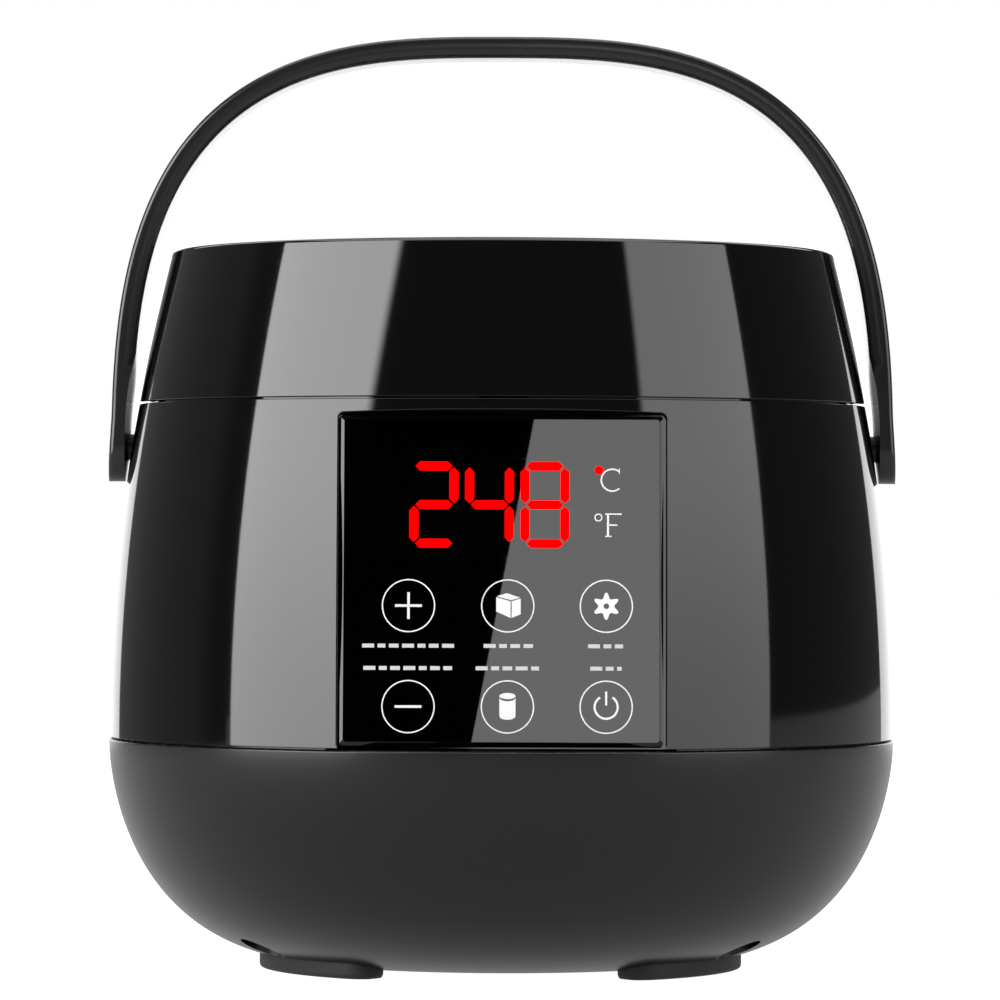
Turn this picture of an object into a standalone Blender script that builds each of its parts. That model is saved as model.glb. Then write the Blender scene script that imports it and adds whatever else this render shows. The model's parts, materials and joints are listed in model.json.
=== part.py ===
"""Wax warmer pot: bowl base, barrel body, collar, flat touch panel, bail handle, lift-out pot and lid.

Metres, +Z up, front towards -Y, origin on the floor under the middle of the body.
The outer form comes from two curves, bowl_radius below the lower seam and barrel_radius above it.
Every fit is worked out from those curves, the driving sizes below and the named gaps.
"""

import math

import bmesh
import bpy
from mathutils import Matrix, Vector

MM = 0.001

# Gaps between pieces
TOUCH_GAP = 0.3 * MM
SEAM_GAP = 0.4 * MM
PANEL_GAP = 0.65 * MM
POT_GAP = 1.0 * MM

# Outer form
BODY_RADIUS = 90.0 * MM
RIM_RADIUS = 76.0 * MM
BASE_SEAM_Z = 53.0 * MM
COLLAR_SEAM_Z = 128.9 * MM
RIM_Z = 164.0 * MM
FLOOR_CLEARANCE = 1.8 * MM
BOWL_DROP_POWER = 1.8
BOWL_SIDE_POWER = 0.224
SHELL_WALL = 2.5 * MM
BASE_FLOOR = 3.0 * MM
LIP_FILLET = 0.6 * MM
RIM_FILLET = 2.0 * MM
LAP_HEIGHT = 4.0 * MM
LAP_WALL = 2.4 * MM

# Touch panel, its pocket and what stands behind it
PANEL_HALF_WIDTH = 35.0 * MM
PANEL_BOTTOM_Z = 53.5 * MM
PANEL_TOP_Z = 125.0 * MM
PANEL_THICKNESS = 2.0 * MM
PANEL_RECESS = 0.9 * MM
PANEL_CORNER = 1.0 * MM
PANEL_BEVEL = 0.5 * MM
POCKET_WALL = 2.0 * MM
POCKET_LEDGE = 1.6 * MM
LEDGE_WIDTH = 4.0 * MM
BOARD_STANDOFF = 8.5 * MM
BOARD_THICKNESS = 1.6 * MM
BOARD_EDGE = 3.0 * MM
DISPLAY_SIZE = (38.0 * MM, 22.0 * MM)
DISPLAY_CENTRE = (-2.7 * MM, 16.4 * MM)
KEY_PITCH_X = 21.4 * MM
KEY_CENTRE_X = 1.2 * MM
KEY_ROWS = (-5.5 * MM, -27.4 * MM)
KEY_SPRING_RADIUS = 3.6 * MM
KEY_SPRING_WALL = 0.9 * MM

# Handle
PIVOT_BELOW_SEAM = 9.9 * MM
HANDLE_CLEARANCE = 0.35 * MM
HANDLE_THICKNESS = 4.9 * MM
HANDLE_WIDTH = 15.0 * MM
HANDLE_POWER = 2.95
HANDLE_FILLET = 1.2 * MM
HANDLE_RIM_CLEARANCE = 1.0 * MM
HANDLE_FLARE_START = 7.0 * MM
HANDLE_FLARE = 0.05
HANDLE_FOLD = 95.0
PIVOT_RADIUS = 3.0 * MM
PIVOT_HEAD_RADIUS = 5.5 * MM
PIVOT_HEAD = 2.4 * MM
PIVOT_BOSS_RADIUS = 6.8 * MM
PIVOT_BOSS_LENGTH = 4.0 * MM
PIVOT_GRIP = 3.0 * MM
WASHER = 0.6 * MM

# Pot, heater and lid
POT_RADIUS = 54.0 * MM
POT_DEPTH = 85.0 * MM
POT_WALL = 1.2 * MM
POT_TAPER = 2.0 * MM
POT_CORNER = 9.0 * MM
POT_FLANGE = 9.0 * MM
POT_RIM_DROP = 14.0 * MM
BUCKET_WALL = 1.2 * MM
BUCKET_FLANGE = 10.0 * MM
COLLAR_WALL = 3.0 * MM
COLLAR_SKIRT = 8.0 * MM
HEATER_THICKNESS = 2.0 * MM
HEATER_HEIGHT = 30.0 * MM
HEATER_RAISE = 9.0 * MM
HEATER_SPLIT = 6.0 * MM
INSULATION = 3.0 * MM
INSULATION_HEIGHT = 56.0 * MM
SHIELD = 0.8 * MM
SHIELD_HEIGHT = 60.0 * MM
LID_STEP_DROP = 11.0 * MM
LID_RIM_WIDTH = 4.0 * MM
LID_RIM_HEIGHT = 3.4 * MM
LID_THICKNESS = 1.8 * MM
LID_RISE = 2.2 * MM
KNOB_RADIUS = 11.0 * MM
KNOB_ABOVE_RIM = 2.2 * MM

# Base, feet and screws
FOOT_OUTER_RADIUS = 55.7 * MM
FOOT_WIDTH = 11.2 * MM
FOOT_ARC = 61.0
FOOT_FILLET = 1.3 * MM
FOOT_SEAT = 2.7 * MM
WELL_RADIUS = 5.0 * MM
WELL_WALL = 1.5 * MM
WELL_FROM_FOOT = 6.0 * MM
WELL_DEPTH = 3.8 * MM
BOSS_TOP_Z = 38.0 * MM
BOSS_RADIUS = 4.2 * MM
SCREW_RADIUS = 1.9 * MM
SCREW_HEAD_RADIUS = 3.8 * MM
SCREW_HEAD = 2.6 * MM
VENT_COUNT = 8
VENT_RADIUS = (20.0 * MM, 34.0 * MM)
VENT_WIDTH = 2.4 * MM
FRONT_ANGLE = -90.0
SUPPORTS = (("left", FRONT_ANGLE - 60.0), ("right", FRONT_ANGLE + 60.0), ("rear", FRONT_ANGLE + 180.0))

# Bracket under the bucket
BRACKET_SHEET = 1.5 * MM
BRACKET_DISC = 30.0 * MM
BRACKET_ARM_WIDTH = 14.0 * MM
STUD_RADIUS = 2.5 * MM
STUD_LENGTH = 11.0 * MM
NUT_RADIUS = 4.6 * MM
NUT_HEIGHT = 4.0 * MM
SENSOR_OFFSET = 18.0 * MM

# Power board
POWER_BOARD = (62.0 * MM, 46.0 * MM)
POWER_BOARD_Y = 10.0 * MM
POWER_BOARD_Z = 20.0 * MM
POST_RADIUS = 3.0 * MM
SMALL_SCREW_RADIUS = 1.2 * MM
SMALL_HEAD_RADIUS = 2.4 * MM
SMALL_HEAD = 1.6 * MM

# Rear inlet
INLET_Z = 38.0 * MM
INLET_FACE = (26.0 * MM, 15.0 * MM)
INLET_BODY = (22.0 * MM, 12.4 * MM)
INLET_DEPTH = 13.0 * MM
INLET_FLANGE = 1.8 * MM
INLET_MOUTH = (15.6 * MM, 9.2 * MM)
INLET_MOUTH_DEPTH = 11.0 * MM
INLET_SINK = 0.8 * MM
INLET_FRAME = 3.8 * MM
PIN_PITCH = 6.7 * MM
PIN_RADIUS = 1.18 * MM
PIN_TAIL = 2.0 * MM

# Leads
LEAD_RADIUS = 0.7 * MM

# Mesh fineness
SHELL_SEGMENTS = 36
POT_SEGMENTS = 28
SMALL_SEGMENTS = 12
OFF_SEAM_TURN = 9.0  # degrees: keeps corners of the wells off the shell's own edges
MERGE = 0.000001

PIVOT_Z = COLLAR_SEAM_Z - PIVOT_BELOW_SEAM
POT_RIM_Z = RIM_Z - POT_RIM_DROP
BUCKET_RADIUS = POT_RADIUS + POT_GAP + BUCKET_WALL
BUCKET_RIM_Z = POT_RIM_Z - POT_WALL - TOUCH_GAP
BUCKET_FLOOR_Z = POT_RIM_Z - POT_DEPTH - POT_GAP - BUCKET_WALL
LEDGE_Z = BUCKET_RIM_Z - BUCKET_WALL - TOUCH_GAP
SCREW_CIRCLE = FOOT_OUTER_RADIUS + WELL_FROM_FOOT
BRACKET_Z = BUCKET_FLOOR_Z - TOUCH_GAP
SHIELD_RADIUS = BUCKET_RADIUS + HEATER_THICKNESS + INSULATION + SHIELD + 3.0 * TOUCH_GAP


# ---------------------------------------------------------------- outer form

def barrel_radius(z):
    """Outer radius of the body and the collar at height z."""
    rise = (z - BASE_SEAM_Z) / (RIM_Z - BASE_SEAM_Z)
    return BODY_RADIUS - (BODY_RADIUS - RIM_RADIUS) * rise * abs(rise)


def bowl_radius(z):
    """Outer radius of the base at height z."""
    drop = (BASE_SEAM_Z - z) / BASE_SEAM_Z
    return BODY_RADIUS * (1.0 - drop ** BOWL_DROP_POWER) ** BOWL_SIDE_POWER


def bowl_height(radius):
    """Height of the base's outer surface at a radius."""
    side = (radius / BODY_RADIUS) ** (1.0 / BOWL_SIDE_POWER)
    return BASE_SEAM_Z * (1.0 - (1.0 - side) ** (1.0 / BOWL_DROP_POWER))


def bowl_points(count, inset, top_z, bottom_z):
    """Points down the bowl, moved in by a wall, between two heights."""
    points = []
    for step in range(count):
        z = bottom_z + (top_z - bottom_z) * (1.0 - step / (count - 1)) ** 1.6
        points.append((bowl_radius(z), z))
    if not inset:
        return points
    moved = []
    for index, (radius, z) in enumerate(points):
        before = points[max(index - 1, 0)]
        after = points[min(index + 1, count - 1)]
        along = Vector((after[0] - before[0], after[1] - before[1])).normalized()
        moved.append((radius + along.y * inset, z - along.x * inset))
    return moved


def barrel_points(count, inset, bottom_z, top_z):
    """Points up the barrel between two heights, moved in by a wall."""
    heights = [bottom_z + (top_z - bottom_z) * step / (count - 1) for step in range(count)]
    return [(barrel_radius(z) - inset, z) for z in heights]


def panel_depth(z):
    """Distance from the axis to the panel's front face at height z, before the lean is made straight."""
    return math.sqrt(barrel_radius(z) ** 2 - PANEL_HALF_WIDTH ** 2) - PANEL_RECESS


def panel_frame():
    """Frame at the panel's middle: X to the right, Y into the body, Z up the panel's face."""
    low = Vector((0.0, -panel_depth(PANEL_BOTTOM_Z), PANEL_BOTTOM_Z))
    high = Vector((0.0, -panel_depth(PANEL_TOP_Z), PANEL_TOP_Z))
    lean = math.atan2(high.y - low.y, high.z - low.z)
    return Matrix.Translation((low + high) / 2.0) @ Matrix.Rotation(-lean, 4, "X")


def panel_half_height():
    """Half the panel's height, measured along its leaning face."""
    fall = panel_depth(PANEL_BOTTOM_Z) - panel_depth(PANEL_TOP_Z)
    return math.hypot(PANEL_TOP_Z - PANEL_BOTTOM_Z, fall) / 2.0


# ------------------------------------------------------------- mesh helpers

def clear_scene():
    """Remove whatever the scene holds."""
    for item in list(bpy.data.objects):
        bpy.data.objects.remove(item, do_unlink=True)


def material(name, colour, roughness, metallic=0.0):
    """A Principled material of one colour."""
    made = bpy.data.materials.new(name)
    made.use_nodes = True
    shader = made.node_tree.nodes["Principled BSDF"]
    shader.inputs["Base Color"].default_value = (*colour, 1.0)
    shader.inputs["Roughness"].default_value = roughness
    shader.inputs["Metallic"].default_value = metallic
    return made


def make_object(name, bm, look=None, smooth=35.0):
    """Turn a bmesh into an object; without a look it is a cutter or a guide."""
    bmesh.ops.remove_doubles(bm, verts=bm.verts, dist=MERGE)
    bmesh.ops.recalc_face_normals(bm, faces=bm.faces)
    mesh = bpy.data.meshes.new(name)
    bm.to_mesh(mesh)
    bm.free()
    mesh.shade_smooth()
    mesh.set_sharp_from_angle(angle=math.radians(smooth))
    made = bpy.data.objects.new(name, mesh)
    bpy.context.scene.collection.objects.link(made)
    if look is None:
        made.hide_render = True
        made.display_type = "WIRE"
    else:
        mesh.materials.append(look)
    return made


def add_lathe(bm, profile, segments, frame=Matrix()):
    """Turn a closed outline of (radius, height) points about the frame's Z axis."""
    known = set(bm.verts)
    verts = [bm.verts.new((radius, 0.0, height)) for radius, height in profile]
    edges = []
    for first, second in zip(verts, verts[1:] + verts[:1]):
        if first.co.x > MERGE or second.co.x > MERGE:
            edges.append(bm.edges.new((first, second)))
    bmesh.ops.spin(bm, geom=verts + edges, cent=(0, 0, 0), axis=(0, 0, 1), dvec=(0, 0, 0),
                   angle=2.0 * math.pi, steps=segments, use_merge=True, use_duplicate=False)
    made = [vert for vert in bm.verts if vert not in known]
    bmesh.ops.transform(bm, matrix=frame, verts=made)


def add_prism(bm, outline, low, high, frame=Matrix()):
    """Extrude a closed outline of (x, y) points along the frame's Z axis."""
    bottom = [bm.verts.new(frame @ Vector((x, y, low))) for x, y in outline]
    top = [bm.verts.new(frame @ Vector((x, y, high))) for x, y in outline]
    bm.faces.new(bottom)
    bm.faces.new(top)
    count = len(outline)
    for index in range(count):
        following = (index + 1) % count
        bm.faces.new((bottom[index], bottom[following], top[following], top[index]))


def add_box(bm, low, high, frame=Matrix()):
    """A box between two corners given in a frame."""
    outline = [(low[0], low[1]), (high[0], low[1]), (high[0], high[1]), (low[0], high[1])]
    add_prism(bm, outline, low[2], high[2], frame)


def rounded_rectangle(half_x, half_y, corner, steps=3):
    """Outline of a rectangle with round corners, counter-clockwise."""
    points = []
    for quarter, (sign_x, sign_y) in enumerate(((1, 1), (-1, 1), (-1, -1), (1, -1))):
        for step in range(steps + 1):
            angle = math.radians(90.0 * (quarter + step / steps))
            x = sign_x * (half_x - corner) + corner * math.cos(angle)
            y = sign_y * (half_y - corner) + corner * math.sin(angle)
            points.append((x, y))
    return points


def circle(radius, segments=SMALL_SEGMENTS, turn=0.0):
    """Outline of a circle."""
    angles = [turn + 2.0 * math.pi * step / segments for step in range(segments)]
    return [(radius * math.cos(angle), radius * math.sin(angle)) for angle in angles]


def combine(target, cutter, operation):
    """Add an exact Boolean of one object with another."""
    modifier = target.modifiers.new(operation.title(), "BOOLEAN")
    modifier.operation = operation
    modifier.object = cutter
    modifier.solver = "EXACT"


def at(x=0.0, y=0.0, z=0.0):
    """A frame moved from the origin."""
    return Matrix.Translation((x, y, z))


def turned(degrees):
    """A frame turned about the body's axis."""
    return Matrix.Rotation(math.radians(degrees), 4, "Z")


def facing_back():
    """Turn a frame so that its Z axis points to the rear (+Y) and its Y axis down."""
    return Matrix.Rotation(math.radians(-90.0), 4, "X")


def facing_side(side):
    """Turn a frame so that its Z axis points outwards on the left (-1) or the right (+1)."""
    return Matrix.Rotation(math.radians(90.0 * side), 4, "Y")


def hang(node, parent, origin):
    """Give a node its origin at a joint and parent it to that joint's empty."""
    node.data.transform(Matrix.Translation(-origin))
    node.parent = parent
    node.location = origin - parent.location


def joint_empty(name, location):
    """An empty on a joint's axis."""
    made = bpy.data.objects.new(name, None)
    made.location = location
    bpy.context.scene.collection.objects.link(made)
    return made


# ------------------------------------------------------------------- base

def base_profile():
    """Outline of the bowl base: down the outside, across the floor, up the inside, round the lap."""
    top = BASE_SEAM_Z - SEAM_GAP / 2.0
    bend = LIP_FILLET * (1.0 - math.sqrt(0.5))
    outer = [(BODY_RADIUS - LIP_FILLET, top), (BODY_RADIUS - bend, top - bend)]
    outer += bowl_points(9, 0.0, top - LIP_FILLET, FLOOR_CLEARANCE)
    floor_z = FLOOR_CLEARANCE + BASE_FLOOR
    seat_z = foot_top_z() + TOUCH_GAP + FOOT_SEAT
    seat_edge = FOOT_OUTER_RADIUS - FOOT_WIDTH - 2.0 * MM
    floor = [(0.0, FLOOR_CLEARANCE), (0.0, floor_z), (seat_edge, floor_z), (seat_edge, seat_z)]
    lap_radius = BODY_RADIUS - SHELL_WALL - SEAM_GAP
    inner = bowl_points(6, SHELL_WALL, top - 2.0 * LAP_HEIGHT, bowl_height(FOOT_OUTER_RADIUS + 5.0 * MM))
    inner = [(radius, max(z, seat_z)) for radius, z in reversed(inner)]
    inner = [(inner[0][0] - 1.0 * MM, seat_z)] + [point for point in inner if point[1] > seat_z]
    lap = [(lap_radius - LAP_WALL, top - LAP_HEIGHT), (lap_radius - LAP_WALL, top + LAP_HEIGHT),
           (lap_radius, top + LAP_HEIGHT), (lap_radius, top)]
    return outer + floor + inner + lap


def foot_top_z():
    """Top of the rubber feet, just above the bowl where the feet end."""
    return bowl_height(FOOT_OUTER_RADIUS) + 0.5 * MM


def well_floor_z():
    """Face that the base screws' heads bear on."""
    return bowl_height(SCREW_CIRCLE + WELL_RADIUS) + WELL_DEPTH


def board_posts():
    """Middles of the four posts under the power board."""
    reach_x = POWER_BOARD[0] / 2.0 - POST_RADIUS - 1.0 * MM
    reach_y = POWER_BOARD[1] / 2.0 - POST_RADIUS - 1.0 * MM
    return [(x * reach_x, POWER_BOARD_Y + y * reach_y) for x, y in ((-1, -1), (1, -1), (-1, 1), (1, 1))]


def inlet_frame():
    """Frame at the middle of the inlet's front face, Z pointing out of the rear of the base."""
    low_z = INLET_Z - INLET_FACE[1] / 2.0
    reach = math.sqrt(bowl_radius(low_z) ** 2 - (INLET_FACE[0] / 2.0) ** 2) - INLET_SINK
    return at(y=reach, z=INLET_Z) @ facing_back()


def base_bosses(core):
    """Everything that stands on the inside of the base, trimmed to the bowl."""
    bm = bmesh.new()
    shoulder = well_floor_z() + 2.5 * MM
    outline = [(0.0, 0.0), (WELL_RADIUS + WELL_WALL, 0.0), (WELL_RADIUS + WELL_WALL, shoulder),
               (BOSS_RADIUS, shoulder + 2.0 * MM), (BOSS_RADIUS, BOSS_TOP_Z), (0.0, BOSS_TOP_Z)]
    for _, angle in SUPPORTS:
        add_lathe(bm, outline, 16, turned(angle) @ at(x=SCREW_CIRCLE) @ turned(OFF_SEAM_TURN))
    for x, y in board_posts():
        add_prism(bm, circle(POST_RADIUS), 2.0 * FLOOR_CLEARANCE, POWER_BOARD_Z - TOUCH_GAP, at(x, y))
    sill_top = BASE_SEAM_Z - SEAM_GAP / 2.0
    sill_back = panel_depth(PANEL_BOTTOM_Z) - PANEL_THICKNESS - TOUCH_GAP - POCKET_LEDGE - 2.0 * MM
    half = PANEL_HALF_WIDTH - 2.0 * MM
    add_box(bm, (-half, -BODY_RADIUS, sill_top - 2.0 * MM), (half, -sill_back, sill_top))
    half_x = INLET_BODY[0] / 2.0 + TOUCH_GAP + INLET_FRAME
    half_z = INLET_BODY[1] / 2.0 + TOUCH_GAP + INLET_FRAME
    add_box(bm, (-half_x, -half_z, -5.0 * MM), (half_x, half_z, 10.0 * MM), inlet_frame())
    bosses = make_object("base_bosses", bm)
    combine(bosses, core, "INTERSECT")
    return bosses


def base_cutters():
    """Wells, screw bores, foot pockets, vents and the lap's gap behind the panel."""
    bm = bmesh.new()
    floor_z = well_floor_z()
    bore = SCREW_RADIUS + TOUCH_GAP
    well = [(0.0, -1.0 * MM), (WELL_RADIUS, -1.0 * MM), (WELL_RADIUS, floor_z), (bore, floor_z),
            (bore, BOSS_TOP_Z + 1.0 * MM), (0.0, BOSS_TOP_Z + 1.0 * MM)]
    for _, angle in SUPPORTS:
        add_lathe(bm, well, 16, turned(angle) @ at(x=SCREW_CIRCLE) @ turned(OFF_SEAM_TURN / 2.0))
        add_foot(bm, angle, TOUCH_GAP, -1.0 * MM, foot_top_z() + TOUCH_GAP, 0.0)
    pilot = SMALL_SCREW_RADIUS + TOUCH_GAP
    for x, y in board_posts():
        add_prism(bm, circle(pilot, 8), POWER_BOARD_Z - 8.0 * MM, POWER_BOARD_Z + 1.0 * MM, at(x, y))
    for step in range(VENT_COUNT):
        slot = rounded_rectangle((VENT_RADIUS[1] - VENT_RADIUS[0]) / 2.0, VENT_WIDTH / 2.0, VENT_WIDTH / 2.01, 2)
        middle = (VENT_RADIUS[0] + VENT_RADIUS[1]) / 2.0
        add_prism(bm, slot, 0.0, 2.0 * BASE_FLOOR + FLOOR_CLEARANCE,
                  turned(360.0 * step / VENT_COUNT) @ at(x=middle))
    lap_half = PANEL_HALF_WIDTH + PANEL_GAP + POCKET_WALL + SEAM_GAP
    top = BASE_SEAM_Z - SEAM_GAP / 2.0
    add_box(bm, (-lap_half, -BODY_RADIUS, top + 0.002 * MM), (lap_half, -BODY_RADIUS / 2.0, top + 9.0 * MM))
    return make_object("base_cutters", bm)


def inlet_cutter():
    """The sunk seat for the inlet's flange, joined to the opening for its body."""
    bm = bmesh.new()
    outline = rounded_rectangle(INLET_FACE[0] / 2.0 + TOUCH_GAP, INLET_FACE[1] / 2.0 + TOUCH_GAP, 1.5 * MM)
    add_prism(bm, outline, -INLET_FLANGE - TOUCH_GAP, 12.0 * MM, inlet_frame())
    seat = make_object("inlet_seat", bm)
    bm = bmesh.new()
    half_x = INLET_BODY[0] / 2.0 + TOUCH_GAP
    half_z = INLET_BODY[1] / 2.0 + TOUCH_GAP
    add_box(bm, (-half_x, -half_z, -20.0 * MM), (half_x, half_z, 0.0), inlet_frame())
    combine(seat, make_object("inlet_opening", bm), "UNION")
    return seat


def add_foot(bm, angle, grow, low, high, fillet):
    """An arc-shaped block about the body's axis, with rounded lower edges."""
    inner = FOOT_OUTER_RADIUS - FOOT_WIDTH - grow
    outer = FOOT_OUTER_RADIUS + grow
    half = math.radians(FOOT_ARC / 2.0) + grow / FOOT_OUTER_RADIUS
    rings = []
    steps = 9
    ends = [(-half, fillet), (-half + 0.5 * fillet / outer, 0.3 * fillet)] if fillet else [(-half, 0.0)]
    middles = [(-half + fillet / outer + 2.0 * (half - fillet / outer) * step / steps, 0.0)
               for step in range(0 if fillet else 1, steps + 1 if fillet else steps)]
    stations = ends + middles + [(-turn, inset) for turn, inset in reversed(ends)]
    bend = fillet * (1.0 - math.sqrt(0.5))
    for turn, inset in stations:
        near = inner + inset
        far = outer - inset
        if fillet:
            section = [(near, high), (near, low + fillet + inset), (near + bend, low + bend + inset),
                       (near + fillet, low + inset), (far - fillet, low + inset),
                       (far - bend, low + bend + inset), (far, low + fillet + inset), (far, high)]
        else:
            section = [(near, high), (near, low), (far, low), (far, high)]
        spot = turned(angle) @ Matrix.Rotation(turn, 4, "Z")
        rings.append([spot @ Vector((radius, 0.0, z)) for radius, z in section])
    add_rings(bm, rings)


def add_rings(bm, rings):
    """Join a row of equal rings of points into a closed body."""
    rows = [[bm.verts.new(point) for point in ring] for ring in rings]
    count = len(rows[0])
    for first, second in zip(rows, rows[1:]):
        for index in range(count):
            following = (index + 1) % count
            bm.faces.new((first[index], first[following], second[following], second[index]))
    bm.faces.new(rows[0])
    bm.faces.new(rows[-1])


def make_base(look):
    """The bowl base with its bosses, wells, pockets and openings."""
    bm = bmesh.new()
    add_lathe(bm, base_profile(), SHELL_SEGMENTS)
    base = make_object("base_shell", bm, look)
    bm = bmesh.new()
    outline = bowl_points(9, 0.6 * MM, BASE_SEAM_Z - SEAM_GAP / 2.0, FLOOR_CLEARANCE)
    outline[0] = (BODY_RADIUS - LIP_FILLET - 0.2 * MM, BASE_SEAM_Z - SEAM_GAP / 2.0 - 0.002 * MM)
    add_lathe(bm, outline + [(0.0, outline[-1][1]), (0.0, outline[0][1])], SHELL_SEGMENTS)
    core = make_object("bowl_core", bm)
    combine(base, base_bosses(core), "UNION")
    combine(base, base_cutters(), "DIFFERENCE")
    combine(base, inlet_cutter(), "DIFFERENCE")
    return base


def make_feet(look):
    """Three arc-shaped rubber feet in the base's pockets."""
    for name, angle in SUPPORTS:
        bm = bmesh.new()
        add_foot(bm, angle, 0.0, 0.0, foot_top_z(), FOOT_FILLET)
        make_object("foot_" + name, bm, look)


def add_screw(bm, frame, radius, head_radius, head, length):
    """A pan head screw: the head's bearing face at the frame's origin, the shank along +Z."""
    outline = [(0.0, -head), (head_radius * 0.75, -head), (head_radius, -0.45 * head), (head_radius, 0.0),
               (radius, 0.0), (radius, length - radius), (0.0, length)]
    add_lathe(bm, outline, SMALL_SEGMENTS, frame)


def make_base_screws(look):
    """Three long screws from the wells up into the bracket's feet."""
    start = well_floor_z() - TOUCH_GAP
    length = BOSS_TOP_Z + TOUCH_GAP + BRACKET_SHEET + 3.0 * MM - start
    for name, angle in SUPPORTS:
        bm = bmesh.new()
        frame = turned(angle) @ at(SCREW_CIRCLE, 0.0, start)
        add_screw(bm, frame, SCREW_RADIUS, SCREW_HEAD_RADIUS, SCREW_HEAD, length)
        make_object("base_screw_" + name, bm, look)


# ------------------------------------------------------------------- body

def body_profile():
    """Outline of the barrel wall, with rounded lips at both seams."""
    low = BASE_SEAM_Z + SEAM_GAP / 2.0
    high = COLLAR_SEAM_Z - SEAM_GAP / 2.0
    bend = LIP_FILLET * (1.0 - math.sqrt(0.5))
    outer = barrel_points(7, 0.0, low + LIP_FILLET, high - LIP_FILLET)
    inner = barrel_points(5, SHELL_WALL, low, high)
    top_radius = barrel_radius(high)
    upper_lip = [(top_radius - LIP_FILLET, high), (top_radius - bend, high - bend)]
    lower_lip = [(BODY_RADIUS - bend, low + bend), (BODY_RADIUS - LIP_FILLET, low)]
    return inner + upper_lip + list(reversed(outer)) + lower_lip


def panel_block():
    """The solid behind and around the panel, before its pocket is cut."""
    frame = panel_frame()
    half = PANEL_HALF_WIDTH + PANEL_GAP + POCKET_WALL
    back = PANEL_THICKNESS + TOUCH_GAP + POCKET_LEDGE
    low = BASE_SEAM_Z + SEAM_GAP / 2.0
    high = PANEL_TOP_Z + PANEL_GAP + POCKET_WALL
    corners = []
    for z in (low, high):
        face = frame @ Vector((0.0, back, 0.0))
        lean = frame.to_3x3() @ Vector((0.0, 0.0, 1.0))
        corners.append((face.y + lean.y * (z - face.z) / lean.z, z))
    outline = [(-BODY_RADIUS, low), corners[0], corners[1], (-BODY_RADIUS, high)]
    bm = bmesh.new()
    across = Matrix(((0, 0, 1, 0), (1, 0, 0, 0), (0, 1, 0, 0), (0, 0, 0, 1)))
    add_prism(bm, outline, -half, half, across)
    return bm


def control_posts():
    """Middles of the control board's posts in the panel's frame."""
    reach_x = PANEL_HALF_WIDTH - LEDGE_WIDTH / 2.0 + 1.2 * MM
    reach_z = panel_half_height() - LEDGE_WIDTH / 2.0 - 1.0 * MM
    return [(x * reach_x, z * reach_z) for x, z in ((-1, 1), (1, 1), (-1, -1), (1, -1))]


def panel_flat():
    """Frame with X to the right, Y up the panel and Z out of the body towards the front."""
    return panel_frame() @ Matrix.Rotation(math.radians(90.0), 4, "X")


def make_body(look):
    """The barrel with the panel's pocket, the handle's pivot bosses and the board's posts."""
    bm = bmesh.new()
    add_lathe(bm, body_profile(), SHELL_SEGMENTS)
    body = make_object("body_shell", bm, look)
    bm = bmesh.new()
    low = BASE_SEAM_Z + SEAM_GAP / 2.0
    high = COLLAR_SEAM_Z - SEAM_GAP / 2.0
    outline = barrel_points(6, 0.8 * MM, low, high)
    add_lathe(bm, [(0.0, low)] + outline + [(0.0, high)], SHELL_SEGMENTS)
    core = make_object("barrel_core", bm)
    block = make_object("panel_block", panel_block())
    combine(block, core, "INTERSECT")
    combine(body, block, "UNION")
    bm = bmesh.new()
    inner_face = barrel_radius(PIVOT_Z) - SHELL_WALL - PIVOT_BOSS_LENGTH
    for side in (-1, 1):
        frame = at(z=PIVOT_Z) @ facing_side(side)
        add_prism(bm, circle(PIVOT_BOSS_RADIUS, 16), inner_face, BODY_RADIUS, frame)
    bosses = make_object("pivot_bosses", bm)
    combine(bosses, core, "INTERSECT")
    combine(body, bosses, "UNION")
    combine(body, control_post_bodies(), "UNION")
    combine(body, body_cutters(), "DIFFERENCE")
    return body


def control_post_bodies():
    """Posts from the pocket's ledge back to the control board."""
    bm = bmesh.new()
    start = PANEL_THICKNESS + TOUCH_GAP + POCKET_LEDGE / 2.0
    for x, z in control_posts():
        add_prism(bm, circle(POST_RADIUS), -BOARD_STANDOFF + TOUCH_GAP, -start, panel_flat() @ at(x, z))
    return make_object("control_post_bodies", bm)


def body_cutters():
    """Panel pocket, window behind it, pivot bores and the posts' pilot holes."""
    bm = bmesh.new()
    flat = panel_flat()
    half_height = panel_half_height()
    half_width = PANEL_HALF_WIDTH + PANEL_GAP
    back = PANEL_THICKNESS + TOUCH_GAP
    outline = rounded_rectangle(half_width, half_height + PANEL_GAP, PANEL_CORNER + PANEL_GAP)
    open_below = [(x, y if y > 0.0 else y * 1.2) for x, y in outline]
    add_prism(bm, open_below, -back, 30.0 * MM, flat)
    inner_face = barrel_radius(PIVOT_Z) - SHELL_WALL - PIVOT_BOSS_LENGTH
    for side in (-1, 1):
        frame = at(z=PIVOT_Z) @ facing_side(side)
        add_prism(bm, circle(PIVOT_RADIUS + TOUCH_GAP, 16), inner_face - 1.0 * MM, BODY_RADIUS, frame)
    cutters = make_object("body_cutters", bm)
    bm = bmesh.new()
    window = rounded_rectangle(PANEL_HALF_WIDTH - LEDGE_WIDTH, half_height - LEDGE_WIDTH, 2.0 * MM)
    add_prism(bm, window, -BOARD_STANDOFF, -PANEL_THICKNESS, flat)
    for x, z in control_posts():
        pilot = circle(SMALL_SCREW_RADIUS + TOUCH_GAP, 8)
        add_prism(bm, pilot, -BOARD_STANDOFF - 1.0 * MM, -back - POCKET_LEDGE / 2.0, flat @ at(x, z))
    combine(cutters, make_object("window_cutters", bm), "UNION")
    return cutters


# ------------------------------------------------------------------ collar

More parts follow.
